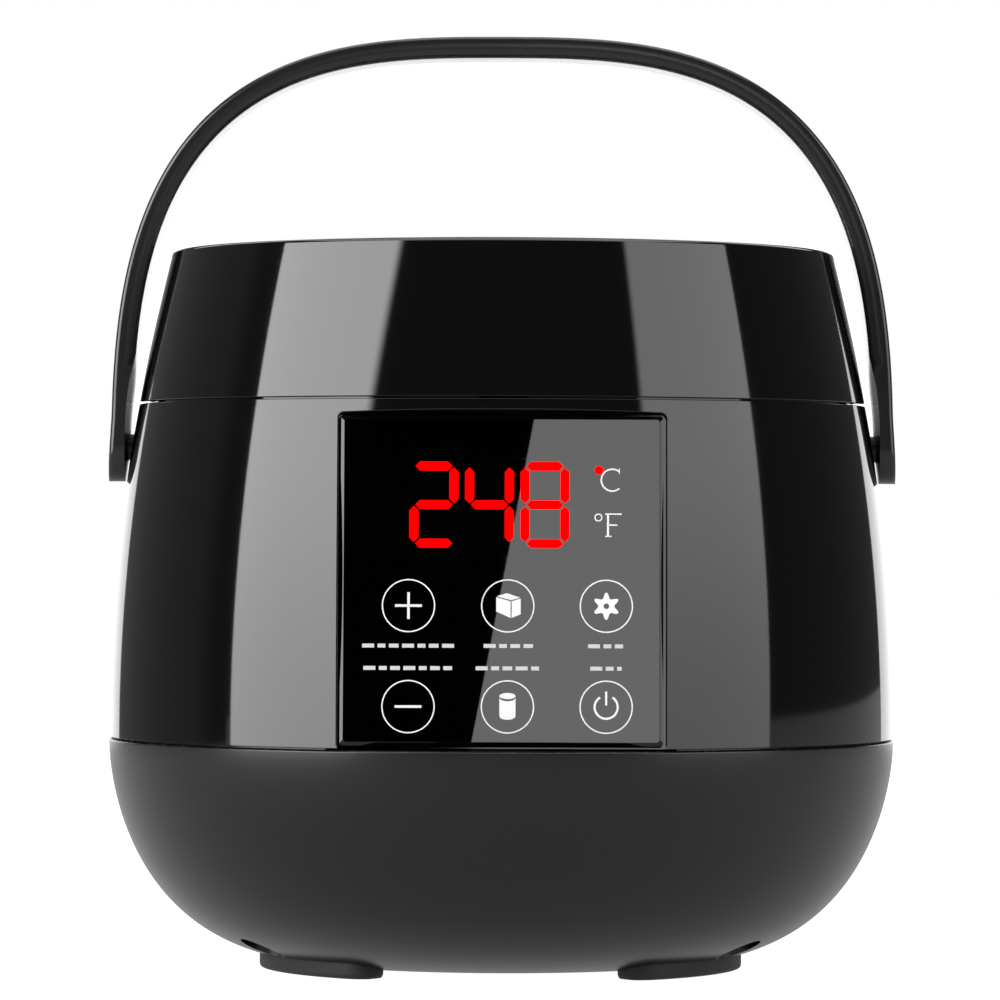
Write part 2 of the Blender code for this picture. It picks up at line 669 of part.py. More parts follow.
def collar_profile():
    """Outline of the collar: lap, seam lip, outer wall, rim, lid step, ledge and throat skirt."""
    low = COLLAR_SEAM_Z + SEAM_GAP / 2.0
    lap_top = barrel_radius(COLLAR_SEAM_Z) - SHELL_WALL - SEAM_GAP - 0.6 * MM
    lap_low = low - 2.6 * MM
    bend = LIP_FILLET * (1.0 - math.sqrt(0.5))
    base_radius = barrel_radius(low)
    outline = [(lap_top - LAP_WALL, lap_low), (lap_top, lap_low), (lap_top, low)]
    outline += [(base_radius - LIP_FILLET, low), (base_radius - bend, low + bend)]
    outline += barrel_points(4, 0.0, low + LIP_FILLET, RIM_Z - RIM_FILLET)
    for step in (1, 2, 3, 4, 5, 6):
        angle = math.radians(30.0 * step)
        middle = RIM_RADIUS - RIM_FILLET
        outline.append((middle + RIM_FILLET * math.cos(angle), RIM_Z - RIM_FILLET * (1.0 - math.sin(angle))))
    step_z = RIM_Z - LID_STEP_DROP
    outline += [(lid_radius() + 0.8 * MM, step_z), (lid_radius() - LID_RIM_WIDTH, step_z)]
    ledge = BUCKET_RADIUS + BUCKET_FLANGE
    throat = BUCKET_RADIUS + 0.6 * MM
    outline += [(ledge + 0.6 * MM, LEDGE_Z + BUCKET_WALL), (ledge, LEDGE_Z), (throat, LEDGE_Z)]
    outline += [(throat, LEDGE_Z - COLLAR_SKIRT), (throat + COLLAR_WALL, LEDGE_Z - COLLAR_SKIRT)]
    outline += [(throat + COLLAR_WALL, LEDGE_Z - COLLAR_WALL)]
    outline += [(barrel_radius(LEDGE_Z) - SHELL_WALL - COLLAR_WALL, LEDGE_Z - COLLAR_WALL)]
    return outline


def lid_radius():
    """Outer radius of the lid, which drops into the collar."""
    return RIM_RADIUS - 2.0 * RIM_FILLET - 1.0 * MM


def make_collar(look):
    """The top ring, with its lap cut away where the panel's block stands."""
    bm = bmesh.new()
    add_lathe(bm, collar_profile(), SHELL_SEGMENTS)
    collar = make_object("collar", bm, look)
    bm = bmesh.new()
    half = PANEL_HALF_WIDTH + PANEL_GAP + POCKET_WALL + SEAM_GAP
    top = COLLAR_SEAM_Z + SEAM_GAP / 2.0 - 0.002 * MM
    add_box(bm, (-half, -BODY_RADIUS, top - 6.0 * MM), (half, -RIM_RADIUS / 2.0, top))
    combine(collar, make_object("collar_cutter", bm), "DIFFERENCE")
    return collar


# ------------------------------------------------------------------- panel

def make_panel(look):
    """The flat plate with rounded corners and a bevelled front edge."""
    half_height = panel_half_height()
    sections = ((-PANEL_THICKNESS, 0.0), (-PANEL_BEVEL, 0.0), (0.0, PANEL_BEVEL))
    rings = []
    for depth, inset in sections:
        outline = rounded_rectangle(PANEL_HALF_WIDTH - inset, half_height - inset, PANEL_CORNER)
        rings.append([panel_flat() @ Vector((x, y, depth)) for x, y in outline])
    bm = bmesh.new()
    add_rings(bm, rings)
    make_object("touch_panel", bm, look)


def key_places():
    """Middles of the six touch keys in the panel's frame, row by row."""
    return [(KEY_CENTRE_X + column * KEY_PITCH_X, row) for row in KEY_ROWS for column in (-1, 0, 1)]


def make_control_parts(looks):
    """Board, display, key springs and screws behind the panel."""
    flat = panel_flat()
    half_height = panel_half_height()
    half_x = control_posts()[1][0] + BOARD_EDGE
    front = -BOARD_STANDOFF
    bm = bmesh.new()
    outline = rounded_rectangle(half_x, half_height - 1.0 * MM, 1.5 * MM)
    add_prism(bm, outline, front - BOARD_THICKNESS, front, flat)
    board = make_object("control_board", bm, looks["board"])
    holes = bmesh.new()
    for x, z in control_posts():
        hole = circle(SMALL_SCREW_RADIUS + TOUCH_GAP, 8)
        add_prism(holes, hole, front - 2.0 * BOARD_THICKNESS, front + BOARD_THICKNESS, flat @ at(x, z))
    combine(board, make_object("control_board_holes", holes), "DIFFERENCE")
    near = -PANEL_THICKNESS - TOUCH_GAP
    far = front + TOUCH_GAP
    bm = bmesh.new()
    display = rounded_rectangle(DISPLAY_SIZE[0] / 2.0, DISPLAY_SIZE[1] / 2.0, 1.0 * MM, 1)
    add_prism(bm, display, far, near, flat @ at(*DISPLAY_CENTRE))
    make_object("display_module", bm, looks["display"])
    for number, (x, z) in enumerate(key_places(), 1):
        bm = bmesh.new()
        inner = KEY_SPRING_RADIUS - KEY_SPRING_WALL
        outline = [(inner, far), (KEY_SPRING_RADIUS, far), (KEY_SPRING_RADIUS, near), (inner, near)]
        add_lathe(bm, outline, SMALL_SEGMENTS, flat @ at(x, z))
        make_object(f"touch_spring_{number}", bm, looks["steel"])
    into_front = flat @ at(z=front - BOARD_THICKNESS - TOUCH_GAP)
    for number, (x, z) in enumerate(control_posts(), 1):
        bm = bmesh.new()
        add_screw(bm, into_front @ at(x, z), SMALL_SCREW_RADIUS, SMALL_HEAD_RADIUS, SMALL_HEAD, 5.5 * MM)
        make_object(f"control_board_screw_{number}", bm, looks["steel"])


# ------------------------------------------------------------------ handle

def handle_top_z():
    """Top of the upright handle: it has to swing over the rim's corner."""
    reach = math.hypot(RIM_RADIUS, RIM_Z - PIVOT_Z)
    return PIVOT_Z + reach + HANDLE_RIM_CLEARANCE + HANDLE_THICKNESS


def swing_reach(across, above):
    """How far out the body reaches on the path of a point on the handle's inner face."""
    reach = 0.0
    for step in range(39):
        angle = math.radians(HANDLE_FOLD) * (step / 19.0 - 1.0)
        y = across * math.cos(angle) + above * math.sin(angle)
        z = PIVOT_Z + above * math.cos(angle) - across * math.sin(angle)
        square = barrel_radius(min(z, RIM_Z)) ** 2 - y ** 2
        if z < RIM_Z and square > 0.0:
            reach = max(reach, math.sqrt(square))
    return reach


def handle_stations():
    """Outer point, inward direction and half width along the handle, from the left end to the right."""
    arm = barrel_radius(PIVOT_Z) + HANDLE_THICKNESS - 0.3 * MM
    foot_z = PIVOT_Z - HANDLE_WIDTH / 2.0 - 0.5 * MM
    rise = handle_top_z() - foot_z
    half = HANDLE_WIDTH / 2.0
    round_z = foot_z + half
    angles = [math.degrees(math.asin(((z - foot_z) / rise) ** (HANDLE_POWER / 2.0)))
              for z in (foot_z + 0.2 * MM, foot_z + 1.2 * MM, foot_z + 3.0 * MM, foot_z + 5.2 * MM,
                        round_z, round_z + 4.0 * MM, round_z + 9.0 * MM, round_z + 16.0 * MM)]
    angles += [12.0 + 6.5 * step for step in range(12)]
    quarter = []
    for degrees in angles:
        angle = math.radians(degrees)
        x = arm * math.cos(angle) ** (2.0 / HANDLE_POWER)
        z = foot_z + rise * math.sin(angle) ** (2.0 / HANDLE_POWER)
        slope = Vector((x ** (HANDLE_POWER - 1.0) / arm ** HANDLE_POWER,
                        (z - foot_z) ** (HANDLE_POWER - 1.0) / rise ** HANDLE_POWER)).normalized()
        x += HANDLE_FLARE * max(0.0, PIVOT_Z + HANDLE_FLARE_START - z)
        width = half if z > round_z else math.sqrt(max(half ** 2 - (round_z - z) ** 2, 0.0))
        quarter.append((x, z, slope, width))
    left = [(-x, z, Vector((-slope.x, slope.y)), width) for x, z, slope, width in quarter]
    top = (0.0, handle_top_z(), Vector((0.0, 1.0)), half)
    return left + [top] + list(reversed(quarter))


def handle_section(x, z, slope, width):
    """Points round the strap at one station: flat outside with fillets, crowned inside."""
    fillet = min(HANDLE_FILLET, 0.45 * width)
    bend = fillet * (1.0 - math.sqrt(0.5))
    points = []
    for across, inset in ((-width, fillet), (-width + bend, bend), (-width + fillet, 0.0),
                          (width - fillet, 0.0), (width - bend, bend), (width, fillet)):
        points.append(Vector((x - slope.x * inset, across, z - slope.y * inset)))
    for share, relief in ((1.0, 0.8 * MM), (0.8, 0.0), (0.4, 0.0), (0.0, 0.0),
                          (-0.4, 0.0), (-0.8, 0.0), (-1.0, 0.8 * MM)):
        across = share * width
        depth = HANDLE_THICKNESS - relief
        inner = Vector((x - slope.x * depth, across, z - slope.y * depth))
        above = inner.z - PIVOT_Z
        if above < RIM_Z - PIVOT_Z:
            least = swing_reach(across, above) + HANDLE_CLEARANCE
            if abs(inner.x) < least:
                inner.x = math.copysign(least, x)
        points.append(inner)
    return points


def make_handle(look):
    """The bail handle: a strap swept along its arch, with blind bores for the pivot pins."""
    bm = bmesh.new()
    add_rings(bm, [handle_section(*station) for station in handle_stations()])
    handle = make_object("handle_bar", bm, look)
    bm = bmesh.new()
    for side in (-1, 1):
        frame = at(z=PIVOT_Z) @ facing_side(side)
        add_prism(bm, circle(PIVOT_RADIUS + TOUCH_GAP, 16), 0.6 * BODY_RADIUS, pin_end() + TOUCH_GAP, frame)
    combine(handle, make_object("handle_bores", bm), "DIFFERENCE")
    return handle


def pin_end():
    """How far out the pivot pins reach inside the handle's arms."""
    return barrel_radius(PIVOT_Z) + HANDLE_CLEARANCE + PIVOT_GRIP


def make_pivot(side, looks):
    """One pivot pin with its head inside the body, and the washer under the head."""
    boss_face = barrel_radius(PIVOT_Z) - SHELL_WALL - PIVOT_BOSS_LENGTH
    frame = at(z=PIVOT_Z) @ facing_side(side)
    washer_face = boss_face - TOUCH_GAP
    head_face = washer_face - WASHER - TOUCH_GAP
    bm = bmesh.new()
    outline = [(0.0, head_face - PIVOT_HEAD), (PIVOT_HEAD_RADIUS, head_face - PIVOT_HEAD),
               (PIVOT_HEAD_RADIUS, head_face), (PIVOT_RADIUS, head_face), (PIVOT_RADIUS, pin_end()),
               (0.0, pin_end())]
    add_lathe(bm, outline, 16, frame)
    pin = make_object("pivot_pin_" + ("left", "right")[side > 0], bm, looks["steel"])
    bm = bmesh.new()
    outline = [(PIVOT_RADIUS + TOUCH_GAP, washer_face - WASHER), (PIVOT_HEAD_RADIUS, washer_face - WASHER),
               (PIVOT_HEAD_RADIUS, washer_face), (PIVOT_RADIUS + TOUCH_GAP, washer_face)]
    add_lathe(bm, outline, 16, frame)
    washer = make_object("pivot_washer_" + ("left", "right")[side > 0], bm, looks["steel"])
    return pin, washer


# ---------------------------------------------------------- bucket and pot

def vessel_profile(radius, wall, floor_z, rim_z, corner, flange, taper):
    """Outline of an open vessel: flange, wall with a little taper, round bottom corner and floor."""
    outer = [(0.0, floor_z), (radius - taper - corner, floor_z)]
    inner = [(0.0, floor_z + wall), (radius - taper - corner, floor_z + wall)]
    for step in (1, 2, 3):
        angle = math.radians(30.0 * step)
        middle = radius - taper - corner
        outer.append((middle + corner * math.sin(angle), floor_z + corner * (1.0 - math.cos(angle))))
        bend = corner - wall
        inner.append((middle + bend * math.sin(angle), floor_z + corner - bend * math.cos(angle)))
    outer += [(radius, rim_z - wall), (radius + flange, rim_z - wall), (radius + flange, rim_z)]
    inner += [(radius - wall, rim_z)]
    return outer + list(reversed(inner))


def make_bucket(look):
    """The fixed aluminium well that hangs on the collar's ledge, with the stud under its floor."""
    profile = vessel_profile(BUCKET_RADIUS, BUCKET_WALL, BUCKET_FLOOR_Z, BUCKET_RIM_Z, POT_CORNER,
                             BUCKET_FLANGE - 0.6 * MM, POT_TAPER)
    bm = bmesh.new()
    add_lathe(bm, profile, POT_SEGMENTS)
    bucket = make_object("heater_bucket", bm, look)
    bm = bmesh.new()
    add_prism(bm, circle(STUD_RADIUS), BUCKET_FLOOR_Z - STUD_LENGTH, BUCKET_FLOOR_Z + BUCKET_WALL / 2.0)
    combine(bucket, make_object("bucket_stud", bm), "UNION")


def sleeve(name, look, inner, wall, low, high, segments=POT_SEGMENTS):
    """A plain tube about the body's axis."""
    bm = bmesh.new()
    outline = [(inner, low), (inner + wall, low), (inner + wall, high), (inner, high)]
    add_lathe(bm, outline, segments)
    return make_object(name, bm, look)


def make_heater(looks):
    """Split band heater, insulation and sheet shield round the bucket."""
    low = BUCKET_FLOOR_Z + HEATER_RAISE
    inner = BUCKET_RADIUS + TOUCH_GAP
    band = sleeve("heater_band", looks["heater"], inner, HEATER_THICKNESS, low, low + HEATER_HEIGHT)
    bm = bmesh.new()
    half = HEATER_SPLIT / 2.0
    add_box(bm, (inner - 5.0 * MM, -half, low - 1.0 * MM), (inner + 5.0 * MM, half, low + HEATER_HEIGHT + 1.0 * MM),
            turned(30.0))
    combine(band, make_object("band_split", bm), "DIFFERENCE")
    inner += HEATER_THICKNESS + TOUCH_GAP
    start = BRACKET_Z + TOUCH_GAP
    sleeve("insulation_sleeve", looks["wool"], inner, INSULATION, start, start + INSULATION_HEIGHT)
    inner += INSULATION + TOUCH_GAP
    sleeve("heat_shield", looks["shield"], inner, SHIELD, start, start + SHIELD_HEIGHT)


def bracket_leg():
    """Side outline of one bracket leg: out under the bucket, down, and back in as a foot."""
    top = BRACKET_Z
    reach = max(SHIELD_RADIUS, SCREW_CIRCLE + SCREW_RADIUS) + 1.6 * MM
    foot = BOSS_TOP_Z + TOUCH_GAP
    return [(BRACKET_DISC * 0.6, top), (reach, top), (reach, foot), (SCREW_CIRCLE - 5.5 * MM, foot),
            (SCREW_CIRCLE - 5.5 * MM, foot + BRACKET_SHEET), (reach - BRACKET_SHEET, foot + BRACKET_SHEET),
            (reach - BRACKET_SHEET, top - BRACKET_SHEET), (BRACKET_DISC * 0.6, top - BRACKET_SHEET)]


def make_bracket(looks):
    """Three legged sheet bracket under the bucket, with the nut on the bucket's stud."""
    bm = bmesh.new()
    add_prism(bm, circle(BRACKET_DISC, 24), BRACKET_Z - BRACKET_SHEET, BRACKET_Z)
    bracket = make_object("bucket_bracket", bm, looks["steel"])
    upright = Matrix(((1, 0, 0, 0), (0, 0, -1, 0), (0, 1, 0, 0), (0, 0, 0, 1)))
    for name, angle in SUPPORTS:
        bm = bmesh.new()
        half = BRACKET_ARM_WIDTH / 2.0
        add_prism(bm, bracket_leg(), -half, half, turned(angle) @ upright)
        combine(bracket, make_object("bracket_leg_" + name, bm), "UNION")
    bm = bmesh.new()
    foot = BOSS_TOP_Z
    for _, angle in SUPPORTS:
        add_prism(bm, circle(SCREW_RADIUS + TOUCH_GAP), foot - 1.0 * MM, foot + 3.0 * BRACKET_SHEET,
                  turned(angle) @ at(x=SCREW_CIRCLE))
    low = BRACKET_Z - 2.0 * BRACKET_SHEET
    high = BRACKET_Z + BRACKET_SHEET
    add_prism(bm, circle(STUD_RADIUS + TOUCH_GAP), low, high)
    add_prism(bm, circle(sensor_radius() + TOUCH_GAP), low, high, at(x=SENSOR_OFFSET))
    combine(bracket, make_object("bracket_holes", bm), "DIFFERENCE")
    bm = bmesh.new()
    top = BRACKET_Z - BRACKET_SHEET - TOUCH_GAP
    add_prism(bm, circle(NUT_RADIUS, 6), top - NUT_HEIGHT, top)
    nut = make_object("bracket_nut", bm, looks["steel"])
    bm = bmesh.new()
    add_prism(bm, circle(STUD_RADIUS + TOUCH_GAP), top - 2.0 * NUT_HEIGHT, top + 1.0 * MM)
    combine(nut, make_object("nut_hole", bm), "DIFFERENCE")


def sensor_radius():
    """Radius of the thermistor's cap."""
    return 3.0 * MM


def make_sensors(looks):
    """Thermistor pressed up to the bucket's floor, and the thermal fuse lying under the bracket."""
    bm = bmesh.new()
    top = BUCKET_FLOOR_Z - TOUCH_GAP
    radius = sensor_radius()
    outline = [(0.0, top - 9.0 * MM), (radius + 1.0 * MM, top - 9.0 * MM), (radius + 1.0 * MM, top - 4.0 * MM),
               (radius, top - 4.0 * MM), (radius, top), (0.0, top)]
    add_lathe(bm, outline, SMALL_SEGMENTS, at(x=SENSOR_OFFSET))
    make_object("thermistor", bm, looks["brass"])
    bm = bmesh.new()
    radius = 2.2 * MM
    half = 9.0 * MM
    outline = [(0.0, -half), (radius * 0.6, -half), (radius, -half * 0.8), (radius, half * 0.8),
               (radius * 0.6, half), (0.0, half)]
    drop = BRACKET_SHEET + TOUCH_GAP + radius
    add_lathe(bm, outline, SMALL_SEGMENTS, at(-SENSOR_OFFSET, 0.0, BRACKET_Z - drop) @ facing_back())
    make_object("thermal_fuse", bm, looks["wool"])


def make_pot(look):
    """The lift-out wax pot, whose flange rests on the bucket's flange."""
    profile = vessel_profile(POT_RADIUS, POT_WALL, POT_RIM_Z - POT_DEPTH, POT_RIM_Z, POT_CORNER - POT_GAP,
                             POT_FLANGE, POT_TAPER)
    bm = bmesh.new()
    add_lathe(bm, profile, POT_SEGMENTS)
    return make_object("inner_pot", bm, look)


# --------------------------------------------------------------------- lid

def lid_seat_z():
    """Underside of the lid's rim."""
    return RIM_Z - LID_STEP_DROP + TOUCH_GAP


def make_lid(looks):
    """Clear pane in a soft rim, with a low knob held by a screw."""
    seat = lid_seat_z()
    outer = lid_radius()
    inner = outer - LID_RIM_WIDTH
    groove = outer - 1.6 * MM
    pane_low = seat + (LID_RIM_HEIGHT - LID_THICKNESS) / 2.0 - TOUCH_GAP / 2.0
    pane_high = pane_low + LID_THICKNESS + TOUCH_GAP
    outline = [(inner, seat), (outer, seat), (outer, seat + LID_RIM_HEIGHT), (inner, seat + LID_RIM_HEIGHT),
               (inner, pane_high), (groove, pane_high), (groove, pane_low), (inner, pane_low)]
    bm = bmesh.new()
    add_lathe(bm, outline, POT_SEGMENTS)
    rim = make_object("lid_rim", bm, looks["soft"])
    low = pane_low + TOUCH_GAP / 2.0
    edge = groove - TOUCH_GAP
    bore = SCREW_RADIUS + TOUCH_GAP
    shoulder = inner - 1.0 * MM
    under = [(bore, low + LID_RISE), (shoulder * 0.55, low + LID_RISE * 0.75), (shoulder, low), (edge, low)]
    over = [(radius, z + LID_THICKNESS) for radius, z in reversed(under)]
    bm = bmesh.new()
    add_lathe(bm, under + over, POT_SEGMENTS)
    pane = make_object("lid_pane", bm, looks["pane"])
    knob_low = low + LID_RISE + LID_THICKNESS + TOUCH_GAP
    knob_top = RIM_Z + KNOB_ABOVE_RIM
    height = knob_top - knob_low
    outline = [(0.0, knob_low + 0.75 * height), (bore, knob_low + 0.75 * height), (bore, knob_low),
               (KNOB_RADIUS * 0.55, knob_low), (KNOB_RADIUS * 0.5, knob_low + 0.35 * height),
               (KNOB_RADIUS * 0.93, knob_low + 0.55 * height), (KNOB_RADIUS, knob_low + 0.75 * height),
               (KNOB_RADIUS * 0.93, knob_low + 0.92 * height), (KNOB_RADIUS * 0.75, knob_top), (0.0, knob_top)]
    bm = bmesh.new()
    add_lathe(bm, outline, 24)
    knob = make_object("lid_knob", bm, looks["gloss"])
    bm = bmesh.new()
    start = low + LID_RISE - TOUCH_GAP
    add_screw(bm, at(z=start), SCREW_RADIUS, SCREW_HEAD_RADIUS, SCREW_HEAD, knob_low + 0.6 * height - start)
    screw = make_object("knob_screw", bm, looks["steel"])
    return rim, pane, knob, screw


# ------------------------------------------------------------- electrics

def make_power_parts(looks):
    """Power board on its posts, with relay, transformer, capacitor and terminal block."""
    low = POWER_BOARD_Z
    top = low + BOARD_THICKNESS
    bm = bmesh.new()
    outline = rounded_rectangle(POWER_BOARD[0] / 2.0, POWER_BOARD[1] / 2.0, 1.5 * MM, 1)
    add_prism(bm, outline, low, top, at(y=POWER_BOARD_Y))
    board = make_object("power_board", bm, looks["board"])
    holes = bmesh.new()
    for x, y in board_posts():
        add_prism(holes, circle(SMALL_SCREW_RADIUS + TOUCH_GAP, 8), low - BOARD_THICKNESS,
                  top + BOARD_THICKNESS, at(x, y))
    combine(board, make_object("power_board_holes", holes), "DIFFERENCE")
    down = Matrix.Rotation(math.pi, 4, "X")
    for number, (x, y) in enumerate(board_posts(), 1):
        bm = bmesh.new()
        add_screw(bm, at(x, y, top + TOUCH_GAP) @ down, SMALL_SCREW_RADIUS, SMALL_HEAD_RADIUS, SMALL_HEAD, 7.0 * MM)
        make_object(f"power_board_screw_{number}", bm, looks["steel"])
    start = top + TOUCH_GAP
    blocks = (("relay", "relay", (-17.0, 4.0), (15.0, 12.0, 13.0)),
              ("transformer", "coil", (2.0, -2.0), (17.0, 15.0, 14.0)),
              ("terminal_block", "terminal", (0.0, 16.0), (26.0, 9.0, 9.0)))
    for name, look, (x, y), (size_x, size_y, size_z) in blocks:
        bm = bmesh.new()
        outline = rounded_rectangle(size_x * MM / 2.0, size_y * MM / 2.0, 0.8 * MM, 1)
        add_prism(bm, outline, start, start + size_z * MM, at(x * MM, POWER_BOARD_Y + y * MM))
        make_object(name, bm, looks[look])
    bm = bmesh.new()
    can = 5.0 * MM
    height = 13.0 * MM
    outline = [(0.0, start), (can, start), (can, start + height - 0.8 * MM), (can - 0.8 * MM, start + height),
               (0.0, start + height)]
    add_lathe(bm, outline, 16, at(20.0 * MM, POWER_BOARD_Y - 4.0 * MM))
    make_object("filter_capacitor", bm, looks["capacitor"])


def make_inlet(looks):
    """Two pin power inlet let into the rear of the base."""
    frame = inlet_frame()
    bm = bmesh.new()
    outline = rounded_rectangle(INLET_FACE[0] / 2.0, INLET_FACE[1] / 2.0, 1.5 * MM)
    add_prism(bm, outline, -INLET_FLANGE, 0.0, frame)
    inlet = make_object("inlet_socket", bm, looks["socket"])
    bm = bmesh.new()
    outline = rounded_rectangle(INLET_BODY[0] / 2.0, INLET_BODY[1] / 2.0, 1.0 * MM, 1)
    add_prism(bm, outline, -INLET_DEPTH, -INLET_FLANGE / 2.0, frame)
    combine(inlet, make_object("inlet_body", bm), "UNION")
    bm = bmesh.new()
    outline = rounded_rectangle(INLET_MOUTH[0] / 2.0, INLET_MOUTH[1] / 2.0, INLET_MOUTH[1] / 2.01, 4)
    add_prism(bm, outline, -INLET_MOUTH_DEPTH, 1.0 * MM, frame)
    bores = bmesh.new()
    for side in (-1, 1):
        add_prism(bores, circle(PIN_RADIUS + TOUCH_GAP, 10), -INLET_DEPTH - 1.0 * MM,
                  -INLET_MOUTH_DEPTH + 0.5 * MM, frame @ at(side * PIN_PITCH / 2.0))
    mouth = make_object("inlet_mouth", bm)
    combine(inlet, mouth, "DIFFERENCE")
    combine(inlet, make_object("inlet_bores", bores), "DIFFERENCE")
    for side, name in ((-1, "left"), (1, "right")):
        bm = bmesh.new()
        tip = -2.0 * MM
        tail = -INLET_DEPTH - PIN_TAIL
        outline = [(0.0, tail), (PIN_RADIUS, tail), (PIN_RADIUS, tip - PIN_RADIUS / 2.0),
                   (PIN_RADIUS / 2.0, tip), (0.0, tip)]
        add_lathe(bm, outline, 10, frame @ at(side * PIN_PITCH / 2.0))
        make_object("inlet_pin_" + name, bm, looks["brass"])


def lead(name, look, points, radius=LEAD_RADIUS):
    """A wire as a round tube along a smooth curve through hand-chosen points."""
    count = 12
    route = []
    places = [Vector(point) for point in points]
    padded = [2.0 * places[0] - places[1]] + places + [2.0 * places[-1] - places[-2]]
    spans = len(places) - 1
    for step in range(count + 1):
        position = min(step * spans / count, spans - 1e-9)
        index = int(position)
        share = position - index
        before, start, end, after = padded[index:index + 4]
        route.append(0.5 * ((2.0 * start) + (end - before) * share
                            + (2.0 * before - 5.0 * start + 4.0 * end - after) * share ** 2
                            + (3.0 * start - before - 3.0 * end + after) * share ** 3))
    data = bpy.data.curves.new(name, "CURVE")
    data.dimensions = "3D"
    data.bevel_depth = radius
    data.bevel_resolution = 2
    data.use_fill_caps = True
    spline = data.splines.new("POLY")
    spline.points.add(len(route) - 1)
    for point, place in zip(spline.points, route):
        point.co = (*place, 1.0)
    data.materials.append(look)
    made = bpy.data.objects.new(name, data)
    bpy.context.scene.collection.objects.link(made)
    return made


def make_leads(looks):
    """Inlet leads, heater leads, sensor lead and the ribbon to the control board."""
    inlet = inlet_frame()
    block_y = POWER_BOARD_Y + 16.0 * MM
    block_top = POWER_BOARD_Z + BOARD_THICKNESS + 2.0 * TOUCH_GAP + 9.0 * MM + LEAD_RADIUS
    for side, name in ((-1, "live"), (1, "neutral")):
        x = side * PIN_PITCH / 2.0
        tail = inlet @ Vector((x, 0.0, -INLET_DEPTH - PIN_TAIL - TOUCH_GAP))
        around = side * (BRACKET_ARM_WIDTH / 2.0 + 4.0 * LEAD_RADIUS)
        points = [tail, tail + Vector((0.0, -1.0 * MM, 0.0)), tail + Vector((side * 3.2 * MM, -1.2 * MM, -1.0 * MM)),
                  Vector((around, tail.y - 5.0 * MM, BOSS_TOP_Z - 3.0 * MM)),
                  Vector((around, block_y + 22.0 * MM, BOSS_TOP_Z - 3.0 * MM)),
                  Vector((side * 9.0 * MM, block_y + 6.0 * MM, block_top + 1.5 * MM)),
                  Vector((side * 9.0 * MM, block_y, block_top))]
        lead("inlet_lead_" + name, looks[name], points)
    gap_radius = BUCKET_RADIUS + TOUCH_GAP + LEAD_RADIUS + 0.05 * MM
    band_low = BUCKET_FLOOR_Z + HEATER_RAISE - TOUCH_GAP
    for side, name in ((-1, "left"), (1, "right")):
        angle = math.radians(90.0 - side * 52.0)
        spot = Vector((gap_radius * math.cos(angle), gap_radius * math.sin(angle), 0.0))
        near = spot * 0.97
        low = spot * 0.84
        points = [(spot.x, spot.y, band_low), (spot.x, spot.y, BUCKET_FLOOR_Z + 4.0 * MM),
                  (spot.x, spot.y, BUCKET_FLOOR_Z - 3.0 * MM), (near.x, near.y, BUCKET_FLOOR_Z - 9.0 * MM),
                  (low.x, low.y, BOSS_TOP_Z + 2.0 * MM),
                  (side * 12.0 * MM, block_y + 5.0 * MM, block_top + 7.0 * MM),
                  (side * 4.0 * MM, block_y, block_top)]
        lead("heater_lead_" + name, looks["heat_lead"], points)
    sensor_low = BUCKET_FLOOR_Z - 2.0 * TOUCH_GAP - 9.0 * MM
    board_top = POWER_BOARD_Z + BOARD_THICKNESS + TOUCH_GAP
    lead("sensor_lead", looks["signal"],
         [(SENSOR_OFFSET, 0.0, sensor_low), (SENSOR_OFFSET, 0.0, sensor_low - 4.0 * MM),
          (18.0 * MM, -7.0 * MM, board_top + 8.0 * MM),
          (18.0 * MM, -8.0 * MM, board_top + 0.5 * MM)])
    make_ribbon(looks["ribbon"], board_top)


def make_ribbon(look, board_top):
    """Flat ribbon from the control board's lower edge back to the power board."""
    frame = panel_frame()
    start = frame @ Vector((0.0, BOARD_STANDOFF + BOARD_THICKNESS + 2.0 * TOUCH_GAP, -panel_half_height() + 8.0 * MM))
    route = [start, start + Vector((0.0, 4.0 * MM, -1.0 * MM)), Vector((0.0, start.y + 9.0 * MM, start.z - 12.0 * MM)),
             Vector((0.0, -42.0 * MM, board_top + 12.0 * MM)), Vector((0.0, -26.0 * MM, board_top + 8.0 * MM)),
             Vector((0.0, -14.0 * MM, board_top + 5.0 * MM)), Vector((0.0, -9.5 * MM, board_top + 0.8 * MM))]
    half = 6.0 * MM
    thick = 0.45 * MM
    rings = []
    for index, place in enumerate(route):
        along = (route[min(index + 1, len(route) - 1)] - route[max(index - 1, 0)]).normalized()
        up = Vector((1.0, 0.0, 0.0)).cross(along).normalized() * thick
        side = Vector((half, 0.0, 0.0))
        rings.append([place - side - up, place + side - up, place + side + up, place - side + up])
    bm = bmesh.new()
    add_rings(bm, rings)
    make_object("ribbon_cable", bm, look)


# ---------------------------------------------------------------- assembly

